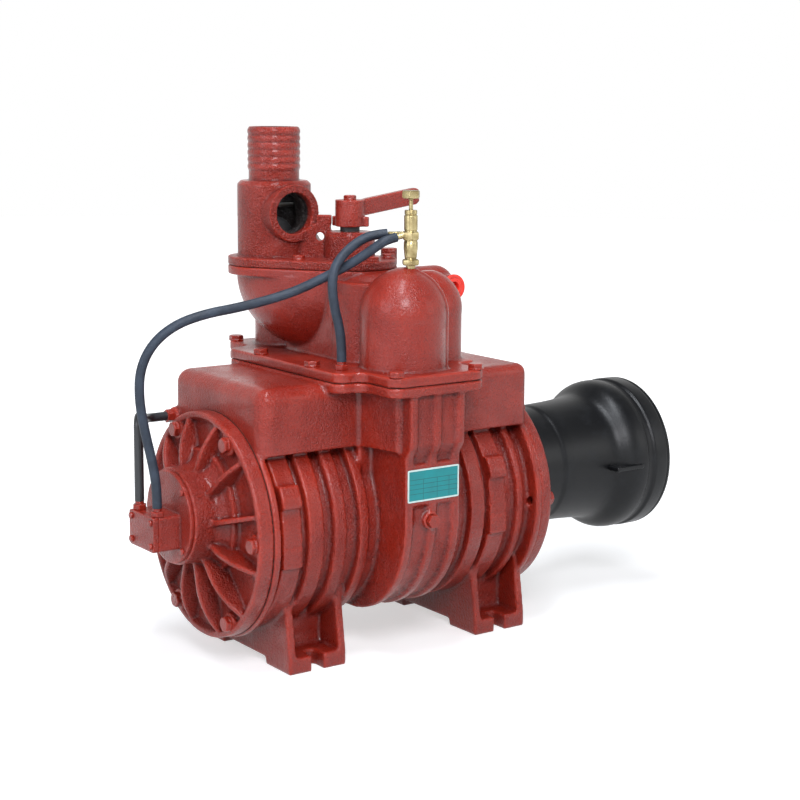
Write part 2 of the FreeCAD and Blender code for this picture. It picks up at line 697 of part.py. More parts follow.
def guard_latch():
    """Thin handle bar that bridges the flare on the cone's side."""
    start = FRONT_RIM + S.latch_start
    end = start + S.latch_length
    top = S.guard_bead + S.latch_rise
    outline = [(start, -S.guard_shoulder), (start, 2 - S.guard_bead), (start + 4, -top),
               (end - 3, -top), (end, 1 - top), (end, 6 - top), (start + 8, 6 - top),
               (start + 8, -S.guard_shoulder)]
    return slab("xy", (0, 0, SHAFT_Z - S.latch_width / 2), outline, "latch_width")


def guard_cone():
    """Thin plastic shield, open at its mouth, with a foot ring inside."""
    outer = guard_outline(0)
    inner = guard_outline(S.guard_wall)

    def back(path):
        """The same path walked the other way, arcs kept."""
        points = [path[-1][-2:]]
        for step, before in zip(path[:0:-1], path[-2::-1]):
            points.append((*step[:2], *before[-2:]) if len(step) == 4 else before[-2:])
        return points

    way_home = back(inner)[:-1]
    foot = [(FRONT_RIM + S.guard_wall, S.guard_base - 2 - S.guard_wall),
            (FRONT_RIM + S.guard_wall, S.guard_base - 20), (FRONT_RIM, S.guard_base - 20)]
    shell = turned((0, 0, SHAFT_Z), outer + way_home + foot)
    inside = turned((0, 0, SHAFT_Z), [(FRONT_RIM + S.guard_wall, 0), *inner[1:],
                                      (inner[-1][0], 0)])
    screws = [cylinder((FRONT_RIM - 1, y, SHAFT_Z + z), "x", "guard_screw / 2 + bolt_play / 2", 8)
              for y, z in around(S.guard_screw_count, S.guard_base - 12, 45)]
    return cut(fuse(shell, cut(guard_latch(), inside)), *screws)


def guard_screws():
    return group(*[bolt((FRONT_RIM, y, SHAFT_Z + z), "x", "guard_screw", "guard_wall",
                        head_first=False)
                   for y, z in around(S.guard_screw_count, S.guard_base - 12, 45)])


# oil pump

def pump_screw_places():
    return [(y, z) for y in (-S.pump_width / 2 + 8, S.pump_width / 2 - 8)
            for z in (S.pump_bottom + 8, S.pump_top - 8)]


def plate_screw_places():
    """Offsets from the shaft line of the screws in the round plate."""
    return list(around(4, S.plate_screw_circle, 45))


def pump_screw_holes(start, length):
    return [cylinder((start, y, z), "x", "pump_screw / 2 + pin_play", length)
            for y, z in pump_screw_places()]


def along_x(edge):
    return len(edge.Vertexes) == 2 and abs(edge.tangentAt(edge.FirstParameter).x) > 0.99


def oil_pump_body():
    """Gear housing on a round plate that closes the hub."""
    depth = S.pump_depth
    block = primitive("Box", (HUB - depth, -S.pump_width / 2, S.pump_bottom),
                      Length="pump_depth", Width="pump_width", Height="pump_top - pump_bottom")
    block = rounded(block, 4, along_x)
    plate = cylinder((HUB - S.pump_plate, 0, SHAFT_Z), "x", "pump_plate_radius", "pump_plate")
    cavity = [cylinder((HUB - depth - 1, y, SHAFT_Z), "x", "gear_tip + gear_play",
                       "gear_length + 2 * gear_play + 1") for y in (0, -S.gear_pitch)]
    way = cylinder((HUB - depth - 1, 0, SHAFT_Z), "x", "drive_stub + pin_play", "pump_depth + 2")
    pin_hole = cylinder((HUB - depth - 1, -S.gear_pitch, SHAFT_Z), "x", "idler_pin",
                        "pump_depth - 3")
    plate_holes = [cylinder((HUB - depth, y, SHAFT_Z + z), "x", "pump_screw / 2 + pin_play",
                            "pump_depth + 1") for y, z in plate_screw_places()]
    return cut(fuse(block, plate), *cavity, way, pin_hole, *plate_holes,
               *pump_screw_holes(HUB - depth - 1, "pump_depth"))


def oil_pump_cover():
    start = HUB - S.pump_depth - S.pump_cover
    plate = primitive("Box", (start, -S.pump_width / 2, S.pump_bottom), Length="pump_cover",
                      Width="pump_width", Height="pump_top - pump_bottom")
    return cut(rounded(plate, 4, along_x), *pump_screw_holes(start - 1, "pump_cover + 2"))


def oil_pump_screws():
    start = HUB - S.pump_depth - S.pump_cover
    return group(*[bolt((start, y, z), "x", "pump_screw", "pump_cover + pump_depth - 2")
                   for y, z in pump_screw_places()])


def pump_plate_screws():
    """Short screws that hold the round plate to the hub."""
    return group(*[bolt((HUB - S.pump_plate, y, SHAFT_Z + z), "x", "pump_screw", "2 * pump_plate")
                   for y, z in plate_screw_places()])


def gear(y, phase, bore):
    """Spur gear with straight-sided teeth."""
    start = HUB - S.pump_depth + S.gear_play
    body = new_body((start, y, SHAFT_Z))
    blank = [(0, bore), (S.gear_length, bore), (S.gear_length, S.gear_root), (0, S.gear_root)]
    turn_about(body, "Revolution", sketch_in(body, "XZ_Plane", blank), "H_Axis")
    half = S.gear_tooth
    tooth = [(-half, S.gear_root - 0.5), (half, S.gear_root - 0.5),
             (half * 0.83, S.gear_root + 1.2), (half * 0.43, S.gear_tip),
             (-half * 0.43, S.gear_tip), (-half * 0.83, S.gear_root + 1.2)]
    sketch = sketch_in(body, "YZ_Plane", tooth, turn=Rotation(Vector(0, 0, 1), phase))
    rib = feature(body, "Pad", sketch, Length="gear_length")
    polar(body, [rib], "gear_teeth")
    return body


def idler_pin():
    """Fixed pin under the idler, held in the pump body and its cover."""
    start = HUB - S.pump_depth
    return cylinder((start, -S.gear_pitch, SHAFT_Z), "x", "idler_pin", "pump_depth - 4")


def nipple(at):
    """Hexagon adapter that joins an oil line to a casting."""
    nut = hexagon(at, "z", "nipple_hex", "nipple_height - 4")
    neck = cylinder(at, "z", "hose_radius - 0.5", "nipple_height")
    return fuse(nut, neck)


# manifold

def manifold_bolt_places():
    wide = S.wide_length / 2 - 11
    narrow = S.narrow_length / 2 - 12
    reach = S.narrow_width / 2 - 11
    for side, spread in ((-1, S.rear_bolt_spread), (1, S.front_bolt_spread)):
        for end in (-1, 1):
            yield MANIFOLD_X + side * wide, end * spread
            yield MANIFOLD_X + side * narrow, end * reach


def dome(at, radius, wall_top, top):
    """Round-topped chamber standing on the flange."""
    rise = top - wall_top
    wall = wall_top - at[2]
    outline = [(0, 0), (radius, 0), (radius, wall),
               (radius * 0.75, wall + rise * 0.7, 8, wall + rise), (0, wall + rise)]
    return turned(at, outline, "V_Axis")


def dome_crest(at):
    """Raised moulding rib that runs down the dome's side."""
    grown = dome(at, S.dome_radius + S.dome_rib_height, S.dome_wall_top,
                 S.dome_top + S.dome_rib_height / 2)
    blade = primitive("Box", at, Length="2 * dome_radius", Width="dome_rib", Height=200)
    turn = Rotation(Vector(0, 0, 1), -44)
    blade.Placement = Placement(Vector(*at) + turn.multVec(Vector(0, -S.dome_rib / 2, 0)), turn)
    common = doc.addObject("Part::MultiCommon", "crest")
    common.Shapes = [grown, blade]
    return common


def manifold_gasket():
    plate = manifold_plate(S.pad_top, "gasket", inset=2)
    holes = [cylinder((x, y, S.pad_top - 1), "z", "manifold_bolt / 2 + bolt_play", 3)
             for x, y in manifold_bolt_places()]
    ways = [cylinder((MANIFOLD_X, side * S.air_way_y, S.pad_top - 1), "z", "air_way + 8", 3)
            for side in (-1, 1)]
    return cut(plate, *holes, *ways)


def head_outline(radius):
    """Two circles joined by tangents, from the column to the valve."""
    column = Vector(S.column_x, S.column_y, 0)
    valve = Vector(MANIFOLD_X, 0, 0)
    along = (valve - column).normalize()
    side = Vector(along.y, -along.x, 0)
    first = column + side * radius
    second = valve + side * radius
    third = valve + along * radius
    fourth = valve - side * radius
    fifth = column - side * radius
    sixth = column - along * radius
    return [(first.x, first.y), (second.x, second.y), (third.x, third.y, fourth.x, fourth.y),
            (fifth.x, fifth.y), (sixth.x, sixth.y, first.x, first.y)]


def manifold():
    z = FLANGE_TOP - 1
    front_place = (MANIFOLD_X - 10, -S.dome_reach, z)
    outlet_x = MANIFOLD_X + S.exhaust_reach
    plate = manifold_plate(FLANGE_BASE, "flange_thickness")
    front = dome(front_place, S.dome_radius, S.dome_wall_top, S.dome_top)
    side = dome((MANIFOLD_X + S.side_dome_x, S.side_dome_y, z), S.side_dome_radius,
                S.dome_wall_top - 4, S.dome_top - 12)
    riser = dome((MANIFOLD_X, S.riser_y, z), S.riser_radius, S.dome_wall_top - 4,
                 S.head_base + 8)
    rise = S.head_base - S.bowl_bottom
    bowl = primitive("Ellipsoid", (MANIFOLD_X - 33, 50, S.head_base), Radius1=rise,
                     Radius2="bowl_length / 2", Radius3="bowl_width / 2", Angle2=1)
    bowl.Placement = Placement(Vector(MANIFOLD_X - 33, 50, S.head_base),
                               Rotation(Vector(1, 0, 0), Vector(MANIFOLD_X - S.column_x,
                                                                -S.column_y, 0)))
    chamber = primitive("Box", (MANIFOLD_X - S.chamber_width / 2, -S.chamber_front, z),
                        Length="chamber_width", Width="chamber_length",
                        Height=f"head_base - {z}")
    chamber = rounded(chamber, 40, upright)
    shoulder = dome((MANIFOLD_X + 4, -52, z), S.shoulder_radius, S.head_base - 22,
                    S.head_base + S.head_flange - 2)
    outlet = cylinder((MANIFOLD_X, 0, S.exhaust_z), "x", "exhaust_radius", "exhaust_reach")
    corner = primitive("Sphere", (outlet_x, 0, S.exhaust_z), Radius="exhaust_radius")
    stub = cylinder((outlet_x, -S.exhaust_drop, S.exhaust_z), "y", "cap_radius - 1",
                    "exhaust_drop")
    top = slab("xy", (0, 0, S.head_base), head_outline(S.head_flange_radius), "head_flange")
    ear = cylinder((MANIFOLD_X + 63, -7, S.head_base), "z", 12, "head_flange")
    boss = cylinder((S.regulator_x, S.regulator_y, S.dome_top - 14), "z", 11, 14)
    cast = fuse(plate, front, dome_crest(front_place), side, riser, bowl, chamber, shoulder,
                outlet, corner, stub, top, ear, boss)
    return cut(cast, *manifold_ways(), *manifold_bolt_holes())


def manifold_bolt_holes():
    return [cylinder((x, y, FLANGE_BASE - 1), "z", "manifold_bolt / 2 + bolt_play",
                     "flange_thickness + 2") for x, y in manifold_bolt_places()]


def manifold_ways():
    """Air passages from the ducts and the column to the changeover plug, and
    the holes for the plug, the regulator and the exhaust."""
    level = S.head_base - 22
    rise = level - FLANGE_BASE
    outlet_x = MANIFOLD_X + S.exhaust_reach
    ways = [cylinder((MANIFOLD_X, side * S.air_way_y, FLANGE_BASE - 1), "z", "air_way + 8",
                     rise + 8) for side in (-1, 1)]
    ways.append(cylinder((MANIFOLD_X, -S.air_way_y, level), "y", "air_way", "2 * air_way_y"))
    ways.append(cylinder((S.column_x, S.column_y, level), "z", "air_way + 2",
                         HEAD_BASE - level + 1))
    across = Vector(MANIFOLD_X - S.column_x, -S.column_y, 0)
    ways.append(rod((S.column_x, S.column_y, level), across, "air_way", across.Length))
    ways.append(primitive("Sphere", (S.column_x, S.column_y, level), Radius="air_way + 2"))
    ways.append(cylinder((MANIFOLD_X, 0, S.exhaust_z), "x", "exhaust_bore", "exhaust_reach"))
    ways.append(cylinder((outlet_x, -S.exhaust_drop - 1, S.exhaust_z), "y", "exhaust_bore",
                         "exhaust_drop + 1"))
    ways.append(primitive("Sphere", (outlet_x, 0, S.exhaust_z), Radius="exhaust_bore"))
    ways.append(cylinder((MANIFOLD_X, 0, HEAD_BASE - S.plug_depth - S.plug_play), "z",
                         "plug_radius + plug_play", "plug_depth + 20"))
    ways.append(cylinder((S.regulator_x, S.regulator_y, S.regulator_base - 6), "z",
                         "regulator_thread", 30))
    return ways


def exhaust_cap():
    """Pull-off plastic cap with a recessed face."""
    y = -S.exhaust_drop - S.cap_play - 4.7
    x = MANIFOLD_X + S.exhaust_reach
    disc = cylinder((x, y, S.exhaust_z), "y", "cap_radius", 4.7)
    plug = cylinder((x, y + 4, S.exhaust_z), "y", "exhaust_bore - cap_play", "cap_depth")
    recess = cylinder((x, y - 1, S.exhaust_z), "y", "cap_recess", "cap_depth - 2")
    return cut(fuse(disc, plug), recess)


# changeover head

def hose_tail():
    """Column with a grooved hose tail, as radius and height."""
    outline = [(0, 0), (S.column_radius, 0),
               (S.column_radius, S.column_top - HEAD_BASE - 5),
               (S.column_radius - 5, S.column_top - HEAD_BASE),
               (S.tail_radius - S.tail_groove, S.column_top - HEAD_BASE)]
    foot_z = S.tail_top - HEAD_BASE - S.tail_pitch * S.tail_ridges - 4
    for number in range(int(S.tail_ridges)):
        low = foot_z + number * S.tail_pitch
        outline += [(S.tail_radius - S.tail_groove, low + 3),
                    (S.tail_radius, low + 5), (S.tail_radius, low + S.tail_pitch - 1)]
    outline += [(S.tail_radius - S.tail_groove, S.tail_top - HEAD_BASE - 1.5),
                (S.tail_radius - 3, S.tail_top - HEAD_BASE),
                (0, S.tail_top - HEAD_BASE)]
    return outline


def lever_stop():
    """Fixed stop for the lever: an upright web from the column with a block on
    top, and the hole in the web."""
    turn = Rotation(Vector(0, 0, 1), 135)

    def placed(item, along, across, height):
        item.Placement = Placement(Vector(MANIFOLD_X, 0, height)
                                   + turn.multVec(Vector(along, across, 0)), turn)
        return item

    side = -S.stop_width / 2
    web = placed(primitive("Box", (0, 0, 0), Length=50, Width="stop_width",
                           Height=f"stop_top - {HEAD_TOP} - 12"), S.stop_start + 1, side,
                 HEAD_TOP - 1)
    block = placed(primitive("Box", (0, 0, 0), Length="stop_length", Width="stop_width",
                             Height=13), S.stop_start, side, S.stop_top - 13)
    eye = rod(Vector(MANIFOLD_X, 0, S.stop_top - 31) + turn.multVec(Vector(43, -20, 0)),
              turn.multVec(Vector(0, 1, 0)), 6, 40)
    return web, block, eye


def changeover_head():
    plate = slab("xy", (0, 0, HEAD_BASE), head_outline(S.head_flange_radius), "head_flange")
    column = turned((S.column_x, S.column_y, HEAD_BASE), hose_tail(), "V_Axis")
    core = cylinder((S.column_x, S.column_y, HEAD_BASE - 1), "z", "column_bore",
                    f"tail_top - {HEAD_BASE} + 2")
    mouth = S.column_y - S.port_face
    port = cylinder((S.column_x, mouth, S.port_z), "y", "port_radius", "port_face")
    thread = cylinder((S.column_x, mouth - 1, S.port_z), "y", "port_bore", "port_depth + 1")
    port_way = cylinder((S.column_x, mouth, S.port_z), "y", "port_way", "port_face")
    housing = cylinder((MANIFOLD_X, 0, HEAD_TOP - 1), "z", "valve_radius",
                       f"valve_top - {HEAD_TOP} - 3")
    cap = cylinder((MANIFOLD_X, 0, S.valve_top - 4), "z", "valve_radius - 3", 4)
    plug_way = cylinder((MANIFOLD_X, 0, HEAD_BASE - 1), "z", "plug_radius + plug_play",
                        f"valve_top - {HEAD_BASE} - 12")
    stem_way = cylinder((MANIFOLD_X, 0, HEAD_BASE), "z", "stem_radius + plug_play / 8", 80)
    along = Vector(MANIFOLD_X - S.column_x, -S.column_y, 0)
    turn = Rotation(Vector(1, 0, 0), along)
    rib = primitive("Box", (0, 0, 0), Length=along.Length, Width="stem_radius",
                    Height=f"valve_top - {HEAD_TOP} - 6")
    rib.Placement = Placement(Vector(S.column_x, S.column_y, HEAD_TOP - 1)
                              + turn.multVec(Vector(0, -S.stem_radius / 2, 0)), turn)
    spot_face = cylinder((S.column_x, mouth - 60, S.port_z), "y", "port_bore + 1", 60)
    web, block, eye = lever_stop()
    ear = cylinder((MANIFOLD_X + 63, -7, HEAD_BASE), "z", 12, "2 * head_flange")
    spring_seat = cylinder((S.column_x, S.column_y, S.ball_seat_z - 14), "z", "column_bore", 14)
    seat_way = cylinder((S.column_x, S.column_y, S.ball_seat_z - 16), "z",
                        "ball_radius - seat_width", 20)
    seat_cone = primitive("Sphere", (S.column_x, S.column_y, ball_rest()),
                          Radius="ball_radius + cap_play")
    pin_hole = cylinder((S.column_x - S.column_bore - S.pin_bite, S.column_y, pin_height()), "x",
                        "stop_pin", "2 * column_bore + 2 * pin_bite")
    solid = fuse(plate, column, port, housing, cap, rib, web, block, ear)
    hollow = cut(solid, core, thread, spot_face, port_way, plug_way, stem_way, eye, pin_hole,
                 *head_bolt_holes())
    return fuse(hollow, cut(spring_seat, seat_way, seat_cone))


def ball_rest():
    """Height of the ball's centre on its seat."""
    seat = S.ball_radius - S.seat_width
    return S.ball_seat_z + math.sqrt(S.ball_radius ** 2 - seat ** 2) - 3


def pin_height():
    """Height of the cross pin, just clear of the lifted ball."""
    return ball_rest() + S.ball_radius + S.ball_lift + S.stop_pin + 1


def head_bolt_places():
    column = Vector(S.column_x, S.column_y, 0)
    valve = Vector(MANIFOLD_X, 0, 0)
    along = (valve - column).normalize()
    side = Vector(along.y, -along.x, 0)
    reach = S.head_flange_radius - 11
    for sign in (-1, 1):
        yield column + along * 62 + side * (sign * (reach - 5))
        yield valve + along * (reach * 0.85) + side * (sign * reach * 0.5)


def head_bolt_holes():
    return [cylinder((place.x, place.y, HEAD_BASE - 1), "z", "head_bolt / 2 + bolt_play / 2", 30)
            for place in head_bolt_places()]


def head_gasket():
    base = S.head_base + S.head_flange
    sheet_cut = slab("xy", (0, 0, base), head_outline(S.head_flange_radius - 2), "gasket")
    column_way = cylinder((S.column_x, S.column_y, base - 1), "z", "air_way + 2", 3)
    plug_way = cylinder((MANIFOLD_X, 0, base - 1), "z", "plug_radius + plug_play", 3)
    holes = [cylinder((place.x, place.y, base - 1), "z", "head_bolt / 2 + bolt_play / 2", 3)
             for place in head_bolt_places()]
    return cut(sheet_cut, column_way, plug_way, *holes)


def head_bolts():
    return group(*[bolt((place.x, place.y, HEAD_BASE), "z", "head_bolt", "head_flange",
                        head_first=False) for place in head_bolt_places()])


def manifold_bolts():
    return group(*[bolt((x, y, FLANGE_BASE), "z", "manifold_bolt", "flange_thickness",
                        head_first=False) for x, y in manifold_bolt_places()])


def changeover_plug():
    """Rotary plug with two cross passages and a stem for the lever."""
    bottom = HEAD_BASE - S.plug_depth
    drum = cylinder((MANIFOLD_X, 0, bottom), "z", "plug_radius", f"valve_top - {bottom} - 14")
    top = S.lever_z + S.lever_hub - S.lever_roof - S.pin_play
    stem = cylinder((MANIFOLD_X, 0, bottom), "z", "stem_radius - pin_play", top - bottom)
    tapping = cylinder((MANIFOLD_X, 0, top - 18), "z", "lever_bolt / 2", 20)
    ways = [primitive("Box", (MANIFOLD_X + side * (S.plug_radius - 8) - 6, -30, bottom + 12),
                      Length=12, Width=60, Height=40) for side in (-1, 1)]
    return cut(fuse(drum, stem), *ways, tapping)


def stem_seal():
    """Rubber dust seal round the stem, between housing and lever."""
    low = cylinder((MANIFOLD_X, 0, S.valve_top + 0.3), "z", "stem_radius + 2", 6.2)
    way = cylinder((MANIFOLD_X, 0, S.valve_top), "z", "stem_radius + vane_play", 8)
    return cut(low, way)


def changeover_lever():
    """Cast hand lever: a clamping hub, two stop fingers and a rising arm."""
    hub = cylinder((MANIFOLD_X, 0, S.lever_z), "z", "hub_size", "lever_hub")
    start = S.hub_size - 4
    depth = S.lever_depth
    arm_outline = [(start, S.lever_hub - depth), (start + 12, S.lever_hub - depth + 2),
                   (S.lever_length - 8, S.lever_hub + S.lever_rise - depth),
                   (S.lever_length - 2, S.lever_hub + S.lever_rise - depth + 3,
                    S.lever_length, S.lever_hub + S.lever_rise - depth + 9),
                   (S.lever_length, S.lever_hub + S.lever_rise - 7),
                   (S.lever_length - 2, S.lever_hub + S.lever_rise - 2,
                    S.lever_length - 8, S.lever_hub + S.lever_rise),
                   (start + 14, S.lever_hub + 2), (start, S.lever_hub - 1)]
    arm = slab("xz", (MANIFOLD_X, S.lever_thickness / 2, S.lever_z), arm_outline,
               "lever_thickness")
    fingers = []
    for angle in (115, -50):
        turn = Rotation(Vector(0, 0, 1), angle)
        finger = primitive("Box", (0, 0, 0), Length=12, Width=8, Height=14)
        finger.Placement = Placement(Vector(MANIFOLD_X, 0, S.lever_z)
                                     + turn.multVec(Vector(S.hub_size - 5, -4, 0)), turn)
        fingers.append(finger)
    way = cylinder((MANIFOLD_X, 0, S.lever_z - 3), "z", "stem_radius",
                   "lever_hub - lever_roof + 3")
    hole = cylinder((MANIFOLD_X, 0, S.lever_z), "z", "lever_bolt / 2", "2 * lever_hub")
    return cut(fuse(hub, arm, *fingers), way, hole)


def lever_bolt():
    grip = S.lever_roof + 12
    return bolt((MANIFOLD_X, 0, S.lever_z + S.lever_hub - grip), "z", "lever_bolt",
                "lever_roof + 12", head_first=False)


# non-return ball

def non_return_ball():
    return primitive("Sphere", (S.column_x, S.column_y, ball_rest()), Radius="ball_radius")


def ball_stop():
    """Cross pin that keeps the ball out of the hose tail."""
    return cylinder((S.column_x - S.column_bore - S.pin_bite, S.column_y, pin_height()), "x",
                    "stop_pin - pin_play", "2 * column_bore + 2 * pin_bite")


# drip regulator

def regulator_body():
    base = S.regulator_base
    thread = S.regulator_thread
    outline = [(0, -5), (thread, -5), (thread, 8), (S.regulator_body - 1, 11),
               (S.regulator_body + 0.4, 24), (S.regulator_body + 0.4, 37), (S.regulator_body, 49),
               (S.regulator_body, 72), (8.6, 72.5), (8.6, 78), (0, 78)]
    stem = turned((S.regulator_x, S.regulator_y, base), outline, "V_Axis")
    foot = hexagon((S.regulator_x, S.regulator_y, base + 3.4), "z", "regulator_hex", 8)
    cross = hexagon((S.regulator_x, S.regulator_y, base + 37), "z", "regulator_hex - 1", 12)
    barbs = [rod(REGULATOR, SHORT_WAY, "barb_radius", "short_barb"),
             rod(REGULATOR, LONG_WAY, "barb_radius - 1", "long_barb")]
    way = cylinder((S.regulator_x, S.regulator_y, base + 40), "z", "needle_radius + needle_play",
                   40)
    return cut(fuse(stem, foot, cross, *barbs), way)


def regulator_knob():
    tip = S.regulator_base + 41 - S.knob_z
    outline = [(0, tip), (S.needle_radius, tip + 2), (S.needle_radius, 0),
               (S.knob_radius - 1, 0), (S.knob_radius, 1),
               (S.knob_radius, S.knob_height - 1), (S.knob_radius - 1, S.knob_height),
               (0, S.knob_height)]
    return turned((S.regulator_x, S.regulator_y, S.knob_z), outline, "V_Axis")


# oil lines

def route(points, first_share):
    """Straight runs joined by tangent arcs as large as the runs allow."""
    points = [Vector(*point) for point in points]
    edges = []
    radii = []
    here = points[0]
    for before, corner, after in zip(points, points[1:], points[2:]):
        ahead = (after - corner).normalize()
        back = (before - corner).normalize()
        half_turn = (math.pi - back.getAngle(ahead)) / 2
        share = 0.45 if radii else first_share
        reach = share * min((before - corner).Length, (after - corner).Length)
        radius = reach / math.tan(half_turn)
        start = corner + back * reach
        end = corner + ahead * reach
        bisector = (back + ahead).normalize()
        middle = corner + bisector * (radius / math.cos(half_turn) - radius)
        edges.append(Part.LineSegment(here, start).toShape())
        edges.append(Part.Arc(start, middle, end).toShape())
        radii.append(radius)
        here = end
    edges.append(Part.LineSegment(here, points[-1]).toShape())
    return Part.Wire(edges), radii


def tube(name, points, radius, first_share=0.45):
    """Sweep a round section along a route and compare its volume."""
    path, radii = route(points, first_share)
    direction = Vector(*points[1]) - Vector(*points[0])
    section = Part.Wire(Part.makeCircle(radius, Vector(*points[0]), direction))
    shape = path.makePipeShell([section], True, False)
    wanted = math.pi * radius ** 2 * path.Length
    assert abs(shape.Volume / wanted - 1) < 0.01, f"{name} volume"
    item = doc.addObject("Part::Feature", name)
    item.Shape = shape
    item.Placement = Placement()
    print(name, "length", round(path.Length, 1), "arc radii", [round(size, 1) for size in radii])
    return item


REGULATOR = Vector(S.regulator_x, S.regulator_y, S.regulator_base + S.port_height)
SHORT_WAY = Vector(-0.96, 0.18, -0.2).normalize()
LONG_WAY = Vector(-0.8, 0.6, 0).normalize()
LINE_X = HUB - S.line_back
LINE_FOOT = S.pump_top + S.nipple_height + S.line_gap
PIPE_END = (REAR - 7, 113, 329)
PIPE_ROUTE = [(LINE_X, S.line_pitch / 2, LINE_FOOT), (LINE_X, S.line_pitch / 2, 351),
              (PIPE_END[0] - 42, *PIPE_END[1:]), (PIPE_END[0] - S.union_length, *PIPE_END[1:])]
REAR_HOSE = [(LINE_X, -S.line_pitch / 2, LINE_FOOT), (LINE_X, -S.line_pitch / 2, 260),
             (LINE_X - 4, -22, 296), (LINE_X - 12, -17, 338), (LINE_X - 18.5, -14.5, 382),
             (LINE_X - 17, -15.5, 422), (LINE_X - 1.5, -22, 456), (-323, -33, 480.5),
             (-285, -46, 493.5), (-241, -54, 499.5), (-192.5, -62, 509), (-158.4, -75, 520.5),
             (-127.5, -93, 538), (-106, -112, 552.8), (-89, -128, 567.5),
             (-75.8, -139.5, 579.9), REGULATOR + SHORT_WAY * 38,
             REGULATOR + SHORT_WAY * S.short_barb]
MANIFOLD_HOSE = [(-117, -118, FLANGE_TOP + S.nipple_height + S.line_gap), (-117, -118, 447),
                 (-121.5, -119, 473), (-129.7, -120, 498.7), (-133.5, -120, 526),
                 (-130, -118, 550), (-115, -116, 568.5), (-91, -114.5, 584.5),
                 (-73, -122.5, 595), REGULATOR + LONG_WAY * (S.long_barb + 2 * S.line_gap)]

node("stator_casing", stator_casing())
node("rear_cover", rear_cover())
node("rear_cover_gasket", cover_gasket(REAR_FACE))
node("rear_cover_bolts", cover_bolts(RIM, -1))
node("front_cover", front_cover())
node("front_cover_gasket", cover_gasket(FRONT))
node("front_cover_bolts", cover_bolts(FRONT_RIM, 1))
node("drive_shaft", drive_shaft())
node("rotor", rotor())
node("vanes", vanes())
for end, start in (("rear", REAR_FACE - S.bearing_width), ("front", FRONT_FACE)):
    for part, item in zip(("outer", "inner", "rollers"), bearing(start)):
        node(f"{end}_bearing_{part}", item)
node("rear_shaft_seal", shaft_seal(HUB))
node("front_shaft_seal", shaft_seal(FRONT_HUB - S.seal_width))
node("guard_cone", guard_cone())
node("guard_screws", guard_screws())
node("oil_pump_body", oil_pump_body())
node("oil_pump_cover", oil_pump_cover())
node("oil_pump_screws", oil_pump_screws())
node("pump_plate_screws", pump_plate_screws())
node("drive_gear", gear(0, 0, S.drive_stub))
node("idler_gear", gear(-S.gear_pitch, 180 / S.gear_teeth, S.idler_pin + S.pin_play))
node("idler_pin", idler_pin())
node("manifold_gasket", manifold_gasket())
node("manifold", manifold())
node("manifold_bolts", manifold_bolts())
node("head_gasket", head_gasket())
node("changeover_head", changeover_head())
node("head_bolts", head_bolts())
node("changeover_plug", changeover_plug())
node("stem_seal", stem_seal())
node("changeover_lever", changeover_lever())
node("lever_bolt", lever_bolt())
node("non_return_ball", non_return_ball())
node("ball_stop", ball_stop())
node("regulator_body", regulator_body())
node("regulator_knob", regulator_knob())
node("pipe_unions", group(nipple((*PIPE_ROUTE[0][:2], S.pump_top)),
                          hexagon((PIPE_END[0] - S.union_length, *PIPE_END[1:]), "x",
                                  "nipple_hex", "union_length")))
node("drain_plug", drain_plug())
node("hose_nipples", group(nipple((*REAR_HOSE[0][:2], S.pump_top)),
                           nipple((*MANIFOLD_HOSE[0][:2], FLANGE_TOP))))
node("exhaust_cap", exhaust_cap())
node("rear_oil_hose", tube("rear_oil_hose", REAR_HOSE, S.hose_radius))
node("manifold_oil_hose", tube("manifold_oil_hose", MANIFOLD_HOSE, S.hose_radius))
node("suction_pipe", tube("suction_pipe", PIPE_ROUTE, S.pipe_radius,
                          S.elbow_share))

doc.recompute()
failed = [item.Name for item in doc.Objects if {"Invalid", "Error"} & set(item.State)]
assert not failed, f"these objects failed: {failed}"
broken = [name for name, item in NODES.items() if item.Shape.isNull() or not item.Shape.isValid()]
assert not broken, f"these nodes have no valid shape: {broken}"
os.makedirs("parts", exist_ok=True)
for name, item in NODES.items():
    item.Shape.exportStep(f"parts/{name}.step")
print(len(NODES), "nodes")
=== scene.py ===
import json
import math

import bpy
from mathutils import Matrix, Vector

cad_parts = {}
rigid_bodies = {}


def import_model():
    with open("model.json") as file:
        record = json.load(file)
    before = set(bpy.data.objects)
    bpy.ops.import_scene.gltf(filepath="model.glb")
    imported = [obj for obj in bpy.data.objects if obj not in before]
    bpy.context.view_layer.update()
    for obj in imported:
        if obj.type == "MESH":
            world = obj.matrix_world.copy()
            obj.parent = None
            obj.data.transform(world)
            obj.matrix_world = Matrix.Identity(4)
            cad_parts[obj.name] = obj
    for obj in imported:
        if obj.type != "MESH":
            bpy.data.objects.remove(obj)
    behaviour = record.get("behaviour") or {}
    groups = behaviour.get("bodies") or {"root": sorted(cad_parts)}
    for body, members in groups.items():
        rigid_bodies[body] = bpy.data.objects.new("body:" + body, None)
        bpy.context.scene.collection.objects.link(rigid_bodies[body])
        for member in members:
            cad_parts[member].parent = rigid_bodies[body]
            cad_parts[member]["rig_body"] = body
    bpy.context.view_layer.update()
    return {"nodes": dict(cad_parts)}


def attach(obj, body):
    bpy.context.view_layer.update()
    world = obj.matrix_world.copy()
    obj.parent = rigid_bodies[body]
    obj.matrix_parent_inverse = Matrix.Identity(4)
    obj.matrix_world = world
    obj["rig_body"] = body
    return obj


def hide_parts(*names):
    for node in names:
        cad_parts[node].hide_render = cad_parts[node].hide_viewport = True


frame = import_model()
bpy.ops.object.select_all(action="DESELECT")

SHAFT_Z = 0.213
FRONT_RIM = 0.2285
HOSE_DIAMETER = 0.013
GUARD_THICKNESS = 0.004
MM_PER_METRE = 1000


# camera

CAMERA_PLACE = (-1.38987, -2.07033, 0.77928)
CAMERA_ROLL = math.radians(0.431)


